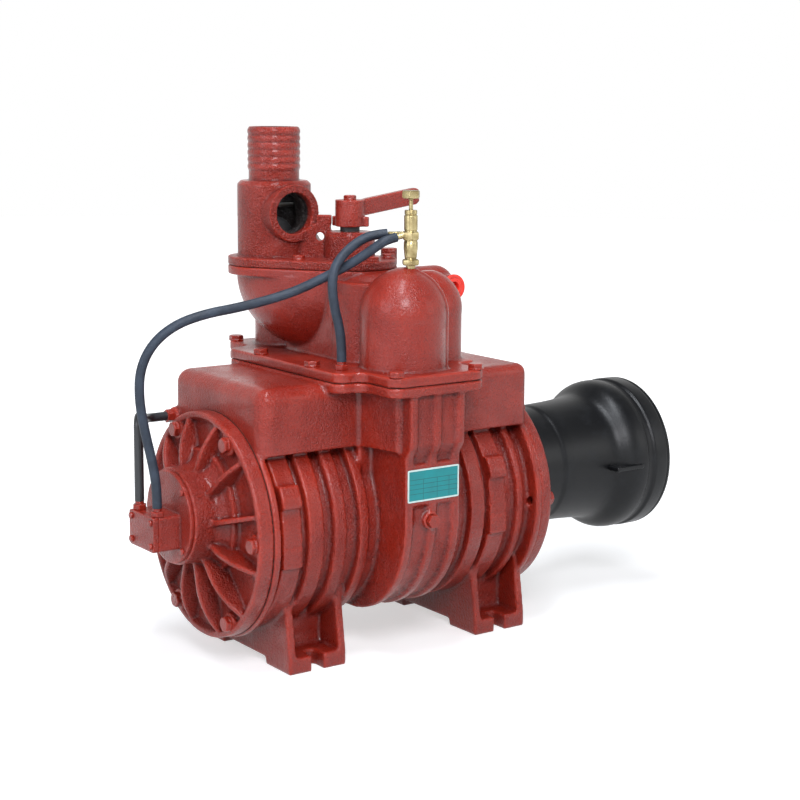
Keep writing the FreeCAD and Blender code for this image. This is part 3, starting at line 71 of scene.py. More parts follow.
def photo_camera():
    """Long lens from the left of the label's side, a little above the tanks."""
    ahead = Vector((0.58086, 0.80136, -0.14294)).normalized()
    level = Vector((0.80967, -0.58689, 0))
    above = Vector((0.08389, 0.11573, 0.98974))
    right = math.cos(CAMERA_ROLL) * level + math.sin(CAMERA_ROLL) * above
    up = math.cos(CAMERA_ROLL) * above - math.sin(CAMERA_ROLL) * level
    bpy.ops.object.camera_add()
    camera = bpy.context.object
    camera.name = "photo_camera"
    camera.matrix_world = Matrix([(right[i], up[i], -ahead[i], CAMERA_PLACE[i])
                                  for i in range(3)] + [(0, 0, 0, 1)])
    camera.data.lens = 78.16
    camera.data.sensor_width = 36
    camera.data.shift_x = -0.0333
    camera.data.shift_y = -0.0642
    bpy.context.scene.camera = camera


# shader writing

class Value:
    """A shader socket, with which sums and products can be written."""

    def __init__(self, tree, socket):
        self.tree = tree
        self.socket = socket

    def sum(self, operation, first, second=0.0):
        maths = self.tree.nodes.new("ShaderNodeMath")
        maths.operation = operation
        for socket, item in zip(maths.inputs, (first, second)):
            if isinstance(item, Value):
                self.tree.links.new(item.socket, socket)
            else:
                socket.default_value = item
        return Value(self.tree, maths.outputs[0])

    def __add__(self, other):
        return self.sum("ADD", self, other)

    def __radd__(self, other):
        return self.sum("ADD", other, self)

    def __sub__(self, other):
        return self.sum("SUBTRACT", self, other)

    def __rsub__(self, other):
        return self.sum("SUBTRACT", other, self)

    def __mul__(self, other):
        return self.sum("MULTIPLY", self, other)

    def __rmul__(self, other):
        return self.sum("MULTIPLY", other, self)

    def __truediv__(self, other):
        return self.sum("DIVIDE", self, other)

    def __pow__(self, other):
        return self.sum("POWER", self, other)

    def at_least(self, other):
        return self.sum("MAXIMUM", self, other)

    def below(self, other):
        return self.sum("LESS_THAN", self, other)

    def above(self, other):
        return self.sum("GREATER_THAN", self, other)

    def size(self):
        return self.sum("ABSOLUTE", self)


class Finish:
    """A material, its shader and the nodes that colour it."""

    def __init__(self, name, **constants):
        self.material = bpy.data.materials.new(name)
        self.material.use_nodes = True
        self.tree = self.material.node_tree
        self.shader = self.tree.nodes["Principled BSDF"]
        for socket, number in constants.items():
            self.shader.inputs[socket.replace("_", " ")].default_value = number
        self.place = self.node("ShaderNodeTexCoord", output="Object")

    def node(self, kind, settings=(), sockets=(), output=0):
        made = self.tree.nodes.new(kind)
        for name, setting in dict(settings).items():
            if name == "stops":
                ramp = made.color_ramp.elements
                while len(ramp) < len(setting):
                    ramp.new(1)
                for stop, (place, colour) in zip(ramp, setting):
                    stop.position = place
                    stop.color = colour if isinstance(colour, tuple) else (colour,) * 3 + (1,)
            else:
                setattr(made, name, setting)
        for name, item in dict(sockets).items():
            if isinstance(item, Value):
                self.tree.links.new(item.socket, made.inputs[name])
            else:
                made.inputs[name].default_value = item
        return Value(self.tree, made.outputs[output])

    def feed(self, socket, item):
        self.tree.links.new(item.socket, self.shader.inputs[socket])

    def noise(self, per_metre, detail=3, roughness=0.5, stretch=None):
        place = self.place
        if stretch:
            place = self.node("ShaderNodeMapping", sockets={"Vector": place, "Scale": stretch})
        return self.node("ShaderNodeTexNoise", sockets={
            "Vector": place, "Scale": per_metre, "Detail": detail, "Roughness": roughness})

    def ramp(self, value, *stops):
        return self.node("ShaderNodeValToRGB", {"stops": stops}, {"Fac": value})

    def blend(self, share, first, second):
        return self.node("ShaderNodeMix", {"data_type": "RGBA"},
                         {0: share, 6: first, 7: second}, output=2)

    def bump(self, height, depth):
        normal = self.node("ShaderNodeBump", sockets={"Height": height, "Distance": depth,
                                                      "Strength": 1.0})
        self.feed("Normal", normal)

    def within(self, axis, places, radius, start, end):
        """1 inside a round bore, with its axis 0, 1 or 2, its place, radius and ends."""
        off = [(self.along(other) - place) ** 2
               for other, place in zip([n for n in range(3) if n != axis], places)]
        depth = self.along(axis)
        return (off[0] + off[1]).below(radius ** 2) * depth.above(start) * depth.below(end)

    def along(self, axis):
        return self.node("ShaderNodeSeparateXYZ", sockets={"Vector": self.place}, output=axis)


def linear(red, green, blue):
    """A colour read off a screen, as the shader wants it."""
    return tuple(((part / 255 + 0.055) / 1.055) ** 2.4 if part > 10 else part / 255 / 12.92
                 for part in (red, green, blue)) + (1.0,)


def casting_paint(name, coarse=1.0, fine=1.0, grains=610, bores=()):
    """Glossy brick-red paint over a sand casting: slow waves, orange peel and grain.

    There are so many grains to the metre. Inside the bores the iron is bare, and painted darker
    still as the shade of the deep bores.
    """
    finish = Finish(name, Coat_Roughness=0.16, Coat_IOR=1.42, IOR=1.38)
    waves = finish.noise(24, 2)
    peel = finish.noise(grains / 2, 2, 0.5)
    grain = finish.noise(grains, 2, 0.6)
    sandy = finish.ramp(finish.noise(11, 3, 0.6), (0.38, 0.15), (0.60, 1.0))
    # Painted shade: concave creases (low pointiness) are coloured dark red, standing in for the
    # shade that falls in them.
    edges = finish.ramp(finish.node("ShaderNodeNewGeometry", output="Pointiness"),
                        (0.46, 0.0), (0.50, 0.62), (0.55, 1.0))
    body = finish.blend(finish.ramp(waves, (0.32, 0.0), (0.68, 1.0)),
                        linear(142, 35, 21), linear(161, 44, 27))
    # Painted crease shade: dark red where the creases are, the body colour elsewhere.
    crease_shaded = finish.blend(edges, linear(92, 18, 12), body)
    pits = finish.ramp(grain, (0.30, 0.60), (0.48, 1.0))
    painted = finish.node("ShaderNodeMix", {"data_type": "RGBA", "blend_type": "MULTIPLY"},
                          {0: 1.0, 6: crease_shaded, 7: pits}, output=2)
    gloss = 0.36 - 0.20 * sandy
    # Inside the bores: bare iron, painted darker than bare iron as the shade that fills the deep
    # bores.
    if bores:
        bare = finish.within(*bores[0])
        for bore in bores[1:]:
            bare = bare.at_least(finish.within(*bore))
        painted = finish.blend(bare, painted, linear(38, 32, 31))
        gloss = gloss * (1 - bare)
    finish.feed("Base Color", painted)
    finish.feed("Roughness", 0.27 + 0.08 * sandy + 0.14 * (peel - 0.5))
    finish.feed("Coat Weight", gloss)
    finish.bump(waves * (1.1 * coarse) + peel * ((0.30 + 1.20 * sandy) * fine)
                + grain * ((0.06 + 0.80 * sandy) * fine), 0.0016)
    return finish.material


def turned_brass():
    """Bare turned brass, a little dull, with fine tool rings up the body."""
    finish = Finish("turned_brass", Metallic=1.0)
    rings = finish.noise(60, 2, stretch=(2, 2, 60))
    stains = finish.noise(90, 3)
    finish.feed("Base Color", finish.blend(
        finish.ramp(stains, (0.35, 0.0), (0.7, 1.0)), linear(176, 162, 120),
        linear(132, 116, 78)))
    finish.feed("Roughness", 0.24 + 0.18 * stains)
    finish.bump(rings + stains * 0.6, 0.00012)
    return finish.material


def moulded_black():
    """Black injection-moulded plastic with a soft sheen and faint flow marks."""
    finish = Finish("moulded_black", IOR=1.33)
    flow = finish.noise(14, 3, stretch=(0.5, 1, 1))
    grain = finish.noise(1400, 2)
    dust = finish.ramp(finish.noise(36, 5, 0.7), (0.5, 0.0), (0.8, 1.0))
    finish.feed("Base Color", finish.blend(dust * 0.3, linear(12, 13, 15), linear(36, 38, 42)))
    finish.feed("Roughness", 0.30 + 0.12 * flow + 0.10 * dust)
    finish.bump(flow * 0.8 + grain * 0.12, 0.0006)
    return finish.material


def hose_rubber():
    """Blue-grey rubber hose with cloth-marked skin."""
    finish = Finish("hose_rubber", IOR=1.38)
    marks = finish.noise(900, 3, 0.6)
    scuffs = finish.noise(45, 4, 0.6)
    finish.feed("Base Color", finish.blend(
        finish.ramp(scuffs, (0.4, 0.0), (0.75, 1.0)), linear(33, 41, 52), linear(52, 62, 75)))
    finish.feed("Roughness", 0.46 + 0.14 * scuffs)
    finish.bump(marks * 0.5 + scuffs * 0.4, 0.00035)
    return finish.material


def plain_rubber(name, colour, gloss=0.55):
    finish = Finish(name, IOR=1.45)
    marks = finish.noise(240, 4, 0.6)
    finish.feed("Base Color", finish.blend(marks, linear(*colour),
                                           linear(*(min(255, part * 1.35) for part in colour))))
    finish.feed("Roughness", gloss - 0.05 + 0.12 * marks)
    finish.bump(marks, 0.0002)
    return finish.material


def black_pipe_paint():
    """Steel pipe under black gloss, with a few dull runs."""
    finish = Finish("black_pipe_paint", IOR=1.5)
    runs = finish.noise(70, 3, stretch=(1, 1, 0.3))
    finish.feed("Base Color", finish.blend(finish.ramp(runs, (0.4, 0.0), (0.8, 1.0)),
                                           linear(27, 29, 32), linear(48, 51, 55)))
    finish.feed("Roughness", 0.26 + 0.2 * runs)
    finish.bump(runs, 0.0004)
    return finish.material


def worked_steel(name, shade, dull=0.34):
    """Bare steel: fine marks round the turning axis and a thin oil film."""
    finish = Finish(name, Metallic=1.0)
    marks = finish.noise(140, 3, stretch=(9, 1, 1))
    film = finish.noise(30, 4)
    finish.feed("Base Color", finish.blend(film, linear(*(part * 0.82 for part in shade)),
                                           linear(*shade)))
    finish.feed("Roughness", dull - 0.06 + 0.16 * marks)
    finish.bump(marks, 0.00012)
    return finish.material


def cap_plastic():
    """Bright red soft plastic of the exhaust's transit cap."""
    finish = Finish("cap_plastic", IOR=1.48)
    flow = finish.noise(160, 3)
    finish.feed("Base Color", finish.blend(flow, linear(214, 36, 28), linear(236, 62, 44)))
    finish.feed("Roughness", 0.32 + 0.12 * flow)
    finish.bump(flow, 0.0003)
    return finish.material


def label_film():
    """Printed film, bare of words: teal field, pale border, ruled empty boxes."""
    finish = Finish("label_film", IOR=1.45)
    across = (finish.along(0) - LABEL[0]) * MM_PER_METRE
    up = (finish.along(2) - LABEL[2]) * MM_PER_METRE
    border = (across.size().above(40.6)).at_least(up.size().above(20.2))
    half_line, head_line = 0.35, 8.5
    ruled = (up + 11).size().below(half_line)
    for height in (-4.5, 2, head_line):
        ruled = ruled.at_least((up - height).size().below(half_line))
    for side in (-17, 6, 26):
        ruled = ruled.at_least((across - side).size().below(half_line) * up.below(head_line))
    tint = finish.noise(60, 4, 0.6)
    field = finish.blend(tint, linear(6, 114, 118), linear(14, 138, 141))
    lined = finish.blend(ruled * 0.75, field, linear(18, 62, 66))
    finish.feed("Base Color", finish.blend(border, lined, linear(196, 214, 208)))
    finish.feed("Roughness", 0.32 + 0.16 * tint)
    finish.bump(tint, 0.0001)
    return finish.material


def composite():
    """Layered brown vane composite."""
    finish = Finish("vane_composite")
    layers = finish.noise(40, 4, stretch=(1, 18, 18))
    finish.feed("Base Color", finish.blend(layers, linear(96, 72, 44), linear(142, 112, 70)))
    finish.feed("Roughness", 0.5 + 0.15 * layers)
    finish.bump(layers, 0.0002)
    return finish.material


# modelling steps

def alone(piece):
    """Select one piece and nothing else."""
    bpy.ops.object.select_all(action="DESELECT")
    piece.select_set(True)
    bpy.context.view_layer.objects.active = piece


def apply(piece, kind, **settings):
    alone(piece)
    bpy.ops.object.modifier_add(type=kind)
    modifier = piece.modifiers[-1]
    for name, setting in settings.items():
        setattr(modifier, name, setting)
    bpy.ops.object.modifier_apply(modifier=modifier.name)


def twin(node, name):
    """A copy of a CAD node with its loose triangles joined."""
    piece = frame["nodes"][node].copy()
    piece.data = piece.data.copy()
    piece.name = name
    piece.parent = None
    bpy.context.scene.collection.objects.link(piece)
    alone(piece)
    bpy.ops.object.mode_set(mode="EDIT")
    bpy.ops.mesh.select_all(action="SELECT")
    bpy.ops.mesh.remove_doubles(threshold=0.00002)
    bpy.ops.object.mode_set(mode="OBJECT")
    return piece


def smooth(piece, degrees=None):
    alone(piece)
    if degrees:
        bpy.ops.object.shade_smooth_by_angle(angle=math.radians(degrees))
    else:
        bpy.ops.object.shade_smooth()


def soft_casting(node, name, material, grid, rounding, keep=1.0):
    """A casting's own skin: every edge of the CAD solid melted to a fillet."""
    piece = twin(node, name)
    apply(piece, "REMESH", mode="VOXEL", voxel_size=grid)
    apply(piece, "SMOOTH", factor=0.5, iterations=rounding)
    if keep < 1:
        apply(piece, "DECIMATE", ratio=keep)
    smooth(piece)
    finished(piece, frame["nodes"][node]["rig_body"], material, node)


def turned(name, steps, count=64, hollow=False):
    """A piece drawn up from a disc or a hoop, ring by ring, as radius and height."""
    radius, height = steps[0]
    bpy.ops.object.select_all(action="DESELECT")
    bpy.ops.mesh.primitive_circle_add(vertices=count, radius=radius, location=(0, 0, height),
                                      fill_type="NOTHING" if hollow else "NGON")
    piece = bpy.context.object
    piece.name = name
    bpy.ops.object.transform_apply(location=True, rotation=True, scale=True)
    bpy.ops.object.mode_set(mode="EDIT")
    bpy.ops.mesh.select_all(action="SELECT")
    for next_radius, next_height in steps[1:]:
        bpy.ops.mesh.extrude_region_move(
            TRANSFORM_OT_translate={"value": (0, 0, next_height - height)})
        share = next_radius / radius
        bpy.ops.transform.resize(value=(share, share, 1), center_override=(0, 0, next_height))
        radius, height = next_radius, next_height
    bpy.ops.mesh.select_all(action="SELECT")
    bpy.ops.mesh.remove_doubles(threshold=0.000001)
    bpy.ops.mesh.normals_make_consistent(inside=False)
    bpy.ops.object.mode_set(mode="OBJECT")
    return piece


def set_down(piece, at, axis=(0, 0, 1), spin=0.0):
    """Turn a piece's mesh from +Z to an axis and carry it to its place."""
    way = Vector((0, 0, 1)).rotation_difference(Vector(axis)).to_matrix().to_4x4()
    piece.data.transform(Matrix.Translation(at) @ way @ Matrix.Rotation(spin, 4, "Z"))
    return piece


def another(piece, name):
    copy = piece.copy()
    copy.data = piece.data.copy()
    copy.name = name
    bpy.context.scene.collection.objects.link(copy)
    return copy


def joined(pieces, name):
    bpy.ops.object.select_all(action="DESELECT")
    for piece in pieces:
        piece.select_set(True)
    bpy.context.view_layer.objects.active = pieces[0]
    bpy.ops.object.join()
    pieces[0].name = name
    return pieces[0]


def painted(piece, material):
    piece.data.materials.clear()
    piece.data.materials.append(material)


def finished(piece, body, material, node):
    """Paint a piece, hang it on its body and let it stand for its CAD node."""
    painted(piece, material)
    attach(piece, body)
    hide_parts(node)


# oil lines

REGULATOR = Vector((-0.028, -0.153, 0.597))
REAR_WAY = Vector((-0.96, 0.18, -0.2)).normalized()
MANIFOLD_WAY = Vector((-0.8, 0.6, 0)).normalized()
REAR_HOSE = [(-0.3505, -0.026, 0.2343), (-0.3505, -0.026, 0.26), (-0.3545, -0.022, 0.296),
             (-0.3625, -0.017, 0.338), (-0.369, -0.0145, 0.382), (-0.3675, -0.0155, 0.422),
             (-0.352, -0.022, 0.456), (-0.323, -0.033, 0.4805), (-0.285, -0.046, 0.4935),
             (-0.241, -0.054, 0.4995), (-0.1925, -0.062, 0.509), (-0.1584, -0.075, 0.5205),
             (-0.1275, -0.093, 0.538), (-0.106, -0.112, 0.5528), (-0.089, -0.128, 0.5675),
             (-0.0758, -0.1395, 0.5799), REGULATOR + REAR_WAY * 0.038,
             REGULATOR + REAR_WAY * 0.022]
MANIFOLD_HOSE = [(-0.117, -0.118, 0.4248), (-0.117, -0.118, 0.447), (-0.1215, -0.119, 0.473),
                 (-0.1297, -0.12, 0.4987), (-0.1335, -0.12, 0.526), (-0.13, -0.118, 0.55),
                 (-0.115, -0.116, 0.5685), (-0.091, -0.1145, 0.5845), (-0.073, -0.1225, 0.595),
                 REGULATOR + MANIFOLD_WAY * 0.0316]


def oil_hose(name, points, node, material):
    """Rubber hose along its route."""
    curve = bpy.data.curves.new(name, "CURVE")
    curve.dimensions = "3D"
    curve.bevel_depth = HOSE_DIAMETER / 2
    curve.bevel_resolution = 8
    curve.resolution_u = 12
    curve.use_fill_caps = True
    spline = curve.splines.new("NURBS")
    spline.points.add(len(points) - 1)
    for point, place in zip(spline.points, points):
        point.co = (*place, 1)
    spline.order_u = 3
    spline.use_endpoint_u = True
    curve.materials.append(material)
    hose = bpy.data.objects.new(name, curve)
    bpy.context.scene.collection.objects.link(hose)
    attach(hose, "pump")
    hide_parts(node)


# bolts

def hexagon_stock(flats, low, high, lower_too=False):
    """Hexagon bar with its corners turned off at the top, and below if asked."""
    corner = flats / math.sqrt(3)
    bpy.ops.object.select_all(action="DESELECT")
    bpy.ops.mesh.primitive_cylinder_add(vertices=6, radius=corner, depth=high - low,
                                        location=(0, 0, (low + high) / 2))
    bar = bpy.context.object
    bpy.ops.object.transform_apply(location=True, rotation=True, scale=True)
    outside, shoulder = corner * 1.2, corner * 1.06
    face, middle = flats * 0.46, flats * 0.40
    drop = (shoulder - face) * 0.6
    steps = [(outside, high - drop * 1.6), (shoulder, high - drop), (face, high),
             (middle, high + 0.0002)]
    if lower_too:
        start = [(middle, low - 0.0002), (face, low), (shoulder, low + drop),
                 (outside, low + drop * 1.6)]
    else:
        start = [(outside, low - 0.001)]
    lathe = turned("lathe", start + steps, 48)
    apply(bar, "BOOLEAN", operation="INTERSECT", object=lathe)
    bpy.data.objects.remove(lathe)
    return bar


def melted(piece, grid, rounds=3):
    """Joins what touches and takes the sharpness off every edge."""
    apply(piece, "REMESH", mode="VOXEL", voxel_size=grid)
    apply(piece, "SMOOTH", factor=0.5, iterations=rounds)
    smooth(piece)
    return piece


HEAD_SIZES = {"m12": (0.0192, 0.0078), "m10": (0.016, 0.0065), "m5": (0.008, 0.00325),
              "m6": (0.0096, 0.0039)}
HEAD_SPIN = 2.4


def bolt_head(flats, height):
    """Painted hexagon head, with its corners turned off, on its washer."""
    head = hexagon_stock(flats, 0, height)
    washer = turned("washer", [(flats * 0.565, -0.0002), (flats * 0.565, 0.0012),
                               (flats * 0.53, 0.0018), (flats * 0.46, 0.002)], 40)
    return melted(joined([head, washer], "bolt_head"), 0.0006)


def solids_of(node):
    """The lowest and highest corner of each separate solid in a CAD node."""
    piece = twin(node, "apart")
    bpy.ops.object.mode_set(mode="EDIT")
    bpy.ops.mesh.select_all(action="SELECT")
    bpy.ops.mesh.separate(type="LOOSE")
    bpy.ops.object.mode_set(mode="OBJECT")
    corners = []
    for part in list(bpy.context.selected_objects):
        places = [vertex.co for vertex in part.data.vertices]
        corners.append((Vector(min(place[i] for place in places) for i in range(3)),
                        Vector(max(place[i] for place in places) for i in range(3))))
        bpy.data.objects.remove(part)
    return sorted(corners, key=lambda pair: tuple(pair[0]))


def bolts(node, size, axis, material, body="pump"):
    """One head on each bolt of a CAD node, each turned its own way."""
    head, height = HEADS[size], HEAD_SIZES[size][1]
    way = Vector(axis)
    pieces = []
    for number, (low, high) in enumerate(solids_of(node)):
        middle = (low + high) / 2
        for i in range(3):
            if way[i]:
                middle[i] = (high[i] - height) if way[i] > 0 else (low[i] + height)
        pieces.append(set_down(another(head, node), middle, axis, number * HEAD_SPIN))
    finished(joined(pieces, node + "_heads"), body, material, node)


# shaft guard

GUARD_WALL = [(0.0, 0.0885), (0.004, 0.0885), (0.040, 0.0886), (0.076, 0.0887), (0.079, 0.0890),
              (0.0815, 0.0899), (0.0838, 0.0910), (0.087, 0.0915), (0.105, 0.0923),
              (0.124, 0.0931), (0.142, 0.0943), (0.157, 0.0956), (0.168, 0.0968),
              (0.176, 0.0983), (0.182, 0.1008), (0.187, 0.1046), (0.192, 0.1090),
              (0.197, 0.1126), (0.203, 0.1156), (0.209, 0.1174), (0.2150, 0.1182),
              (0.221, 0.1185), (0.2265, 0.1184), (0.2285, 0.1180), (0.2295, 0.1170),
              (0.2315, 0.1162), (0.2355, 0.1160), (0.2385, 0.1161), (0.2405, 0.1168),
              (0.2420, 0.1184), (0.2435, 0.1193), (0.2460, 0.1195), (0.2640, 0.1194),
              (0.2662, 0.1190), (0.2672, 0.1184), (0.2686, 0.1190), (0.2705, 0.1193),
              (0.2722, 0.1190), (0.2730, 0.1182), (0.2730, 0.1168), (0.2718, 0.1156)]


def shaft_guard(material):
    """Thin moulded cone: foot flange, neck, flare, rolled bead, groove and lipped mouth."""
    inside = [(height, radius - GUARD_THICKNESS)
              for height, radius in reversed(GUARD_WALL[2:-4:2])]
    foot = [(0.0075, 0.0835), (0.0045, 0.0805), (0.004, 0.0690), (0.0032, 0.0684),
            (0.0006, 0.0684), (0.0, 0.0690), (0.0, 0.0885)]
    steps = [(radius, height) for height, radius in GUARD_WALL + inside + foot]
    cone = turned("guard_shell", steps, 128, hollow=True)
    smooth(cone, 50)
    set_down(cone, (FRONT_RIM, 0, SHAFT_Z), (1, 0, 0))
    cone = joined([cone, guard_handle()], "shaft_guard")
    finished(cone, "pump", material, "guard_cone")


def guard_handle():
    """Slim bowed bar that bridges the flare, with a foot at each end."""
    start = FRONT_RIM + 0.162
    length, thickness, width = 0.055, 0.0055, 0.0066
    bpy.ops.object.select_all(action="DESELECT")
    bpy.ops.mesh.primitive_cube_add(size=1, location=(start + length / 2, -0.1175, SHAFT_Z))
    bar = bpy.context.object
    bar.scale = (length, thickness, width)
    bpy.ops.object.transform_apply(location=True, rotation=True, scale=True)
    apply(bar, "BEVEL", width=0.0016, segments=3)
    stud = turned("stud", [(0.0046, 0.0), (0.0046, 0.018), (0.0040, 0.0206), (0.0022, 0.0216),
                           (0.0012, 0.0217)], 32)
    far_stud = another(stud, "far_stud")
    set_down(stud, (start + 0.004, -0.0985, SHAFT_Z), (0, -1, 0))
    set_down(far_stud, (start + 0.051, -0.0987, SHAFT_Z), (0, -1, 0))
    return melted(joined([bar, stud, far_stud], "guard_handle"), 0.0008)


# drip regulator

REGULATOR_FOOT = 0.551
KNOB_FOOT = 0.6445


def regulator(material):
    """Turned body between two hexagons, with a barb for each oil line."""
    column = turned("regulator_turning", [
        (0.0064, -0.005), (0.0064, 0.0028), (0.0100, 0.0030), (0.0100, 0.0114),
        (0.0080, 0.0116), (0.0078, 0.0128), (0.0084, 0.0136), (0.0088, 0.0180),
        (0.0093, 0.0235), (0.0096, 0.0245), (0.0097, 0.0262), (0.0096, 0.0345),
        (0.0090, 0.0356), (0.0088, 0.0368), (0.0098, 0.0372), (0.0098, 0.0488),
        (0.0088, 0.0492), (0.0086, 0.0504), (0.0092, 0.0512), (0.0093, 0.0530),
        (0.0093, 0.0690), (0.0091, 0.0706), (0.0080, 0.0712), (0.0080, 0.0720),
        (0.0086, 0.0726), (0.0086, 0.0764), (0.0082, 0.0779), (0.0050, 0.0780),
        (0.0031, 0.0779), (0.0030, 0.0700)], 96)
    smooth(column, 32)
    foot = hexagon_stock(0.0215, 0.0034, 0.0112, lower_too=True)
    cross = hexagon_stock(0.0205, 0.0374, 0.0488, lower_too=True)
    for nut in (foot, cross):
        apply(nut, "BEVEL", width=0.0003, segments=2)
        smooth(nut, 30)
    spot = (REGULATOR.x, REGULATOR.y, REGULATOR_FOOT)
    pieces = [set_down(piece, spot, spin=0.55) for piece in (column, foot, cross)]
    for way, radius, reach in ((REAR_WAY, 0.0042, 0.022), (MANIFOLD_WAY, 0.0032, 0.031)):
        steps = [(radius, 0.004), (radius, 0.0105)]
        for ridge in range(3):
            low = 0.0115 + ridge * 0.0031
            steps += [(radius, low), (radius * 0.86, low + 0.0026)]
        barb = turned("barb", steps + [(radius * 0.86, reach - 0.001), (radius * 0.7, reach)], 40)
        smooth(barb, 30)
        pieces.append(set_down(barb, REGULATOR, way))
    finished(joined(pieces, "drip_regulator"), "pump", material, "regulator_body")


def regulator_screw(material):
    """Hexagon thumb knob on the needle, its corners turned off above and below."""
    knob = hexagon_stock(0.0222, 0.0, 0.011, lower_too=True)
    apply(knob, "BEVEL", width=0.0005, segments=3)
    smooth(knob, 30)
    needle = turned("needle", [(0.0006, -0.0525), (0.0028, -0.0505), (0.0028, -0.0030),
                               (0.0025, -0.0026), (0.0025, -0.0018), (0.0034, -0.0012),
                               (0.0036, 0.0008)], 40)
    smooth(needle, 30)
    top = turned("screw_top", [(0.0042, 0.0104), (0.0042, 0.0107), (0.0038, 0.01095),
                               (0.0026, 0.01098)], 40)
    spot = (REGULATOR.x, REGULATOR.y, KNOB_FOOT)
    whole = joined([set_down(piece, spot, spin=0.3) for piece in (knob, needle, top)],
                   "regulator_thumb_screw")
    finished(whole, "regulator_screw", material, "regulator_knob")


# label and cap

LABEL = (-0.0255, -0.2063, 0.2605)
LABEL_SIZE = (0.0855, 0.0012, 0.0450)
CAP_MOUTH = (0.124, -0.0335, 0.505)


def label_plate(material):
    """Thin plate with round corners and a pressed border, left bare of words."""
    bpy.ops.object.select_all(action="DESELECT")
    bpy.ops.mesh.primitive_cube_add(size=1, location=LABEL)
    plate = bpy.context.object
    plate.name = "label_plate"
    plate.scale = LABEL_SIZE
    bpy.ops.object.transform_apply(location=True, rotation=True, scale=True)
    bpy.ops.object.mode_set(mode="EDIT")
    bpy.ops.mesh.select_mode(type="EDGE")
    bpy.ops.mesh.select_all(action="DESELECT")
    bpy.ops.object.mode_set(mode="OBJECT")
    for edge in plate.data.edges:
        ends = [plate.data.vertices[end].co for end in edge.vertices]
        edge.select = abs(ends[0].y - ends[1].y) > 0.0005
    bpy.ops.object.mode_set(mode="EDIT")
    bpy.ops.mesh.bevel(offset=0.0024, segments=6)
    bpy.ops.mesh.select_mode(type="FACE")
    bpy.ops.mesh.select_all(action="DESELECT")
    bpy.ops.object.mode_set(mode="OBJECT")
    for face in plate.data.polygons:
        face.select = face.normal.y < -0.9
    bpy.ops.object.mode_set(mode="EDIT")
    bpy.ops.mesh.inset(thickness=0.0020)
    bpy.ops.transform.translate(value=(0, 0.00025, 0))
    bpy.ops.mesh.inset(thickness=0.0003)
    bpy.ops.mesh.select_all(action="SELECT")
    bpy.ops.mesh.normals_make_consistent(inside=False)
    bpy.ops.object.mode_set(mode="OBJECT")
    apply(plate, "BEVEL", width=0.0002, segments=2, limit_method="ANGLE")
    smooth(plate, 30)
    painted(plate, material)
    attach(plate, "pump")


def transit_cap(material):
    """Push-in cap: thick rim, raised ring and a deep round pocket."""
    cap = turned("transit_cap", [
        (0.0120, 0.0), (0.0126, 0.0008), (0.0126, 0.0118), (0.0127, 0.0120), (0.0178, 0.0120),
        (0.0190, 0.0125), (0.0195, 0.0135), (0.0195, 0.0152), (0.0189, 0.0163),
        (0.0178, 0.0166), (0.0150, 0.0166), (0.0144, 0.0161), (0.0134, 0.0161),
        (0.0128, 0.0166), (0.0096, 0.0166), (0.0086, 0.0162), (0.0081, 0.0152),
        (0.0080, 0.0030), (0.0072, 0.0022), (0.0030, 0.0020)], 96)
    smooth(cap, 40)
    set_down(cap, CAP_MOUTH, (0, -1, 0))
    finished(cap, "cap", material, "exhaust_cap")


# the pump, piece by piece

SUCTION_BORE = (2, (-0.092, 0.099), 0.0335, 0.50, 0.7366)
SIDE_PORT = (1, (-0.092, 0.615), 0.0303, 0.0545, 0.12)

photo_camera()
red = casting_paint("casting_paint")
smooth_red = casting_paint("manifold_paint", 1.3, 0.5)
sandy_red = casting_paint("cover_paint", 1.0, 1.5, 560)
rough_red = casting_paint("head_casting_paint", 1.1, 2.0, 600, (SUCTION_BORE, SIDE_PORT))
bolt_red = casting_paint("bolt_paint", 0.3, 0.4)
rubber = hose_rubber()
oil_hose("rear_hose", REAR_HOSE, "rear_oil_hose", rubber)
oil_hose("manifold_hose", MANIFOLD_HOSE, "manifold_oil_hose", rubber)

soft_casting("stator_casing", "casing", red, 0.0026, 3, 0.4)
soft_casting("rear_cover", "finned_cover", sandy_red, 0.002, 4)
soft_casting("front_cover", "drive_cover", sandy_red, 0.0024, 4)
soft_casting("manifold", "valve_manifold", smooth_red, 0.0019, 4, 0.62)
soft_casting("changeover_head", "valve_head", rough_red, 0.0015, 3, 0.8)
soft_casting("changeover_lever", "hand_lever", red, 0.0012, 5)
soft_casting("oil_pump_body", "oiler_body", red, 0.0012, 3)
soft_casting("oil_pump_cover", "oiler_cover", red, 0.0010, 2)
soft_casting("hose_nipples", "hose_feet", bolt_red, 0.0007, 2)
soft_casting("pipe_unions", "pipe_nuts", bolt_red, 0.0007, 2)
soft_casting("drain_plug", "oil_drain", bolt_red, 0.0007, 2)

HEADS = {size: bolt_head(flats, height) for size, (flats, height) in HEAD_SIZES.items()}
FRONT, REAR, TOP = (1, 0, 0), (-1, 0, 0), (0, 0, 1)
bolts("rear_cover_bolts", "m12", REAR, bolt_red)
bolts("front_cover_bolts", "m12", FRONT, bolt_red)
bolts("manifold_bolts", "m12", TOP, bolt_red)
bolts("head_bolts", "m10", TOP, bolt_red)
bolts("oil_pump_screws", "m5", REAR, bolt_red)
bolts("pump_plate_screws", "m5", REAR, bolt_red)
bolts("lever_bolt", "m10", TOP, bolt_red, "lever")
dark_steel = worked_steel("plated_steel", (150, 148, 144))
bolts("guard_screws", "m6", FRONT, dark_steel)
for spare in HEADS.values():
    bpy.data.objects.remove(spare)

bright = worked_steel("ground_steel", (196, 196, 196), 0.26)
brass = turned_brass()
shaft_guard(moulded_black())
regulator(brass)
regulator_screw(brass)
transit_cap(cap_plastic())
label_plate(label_film())

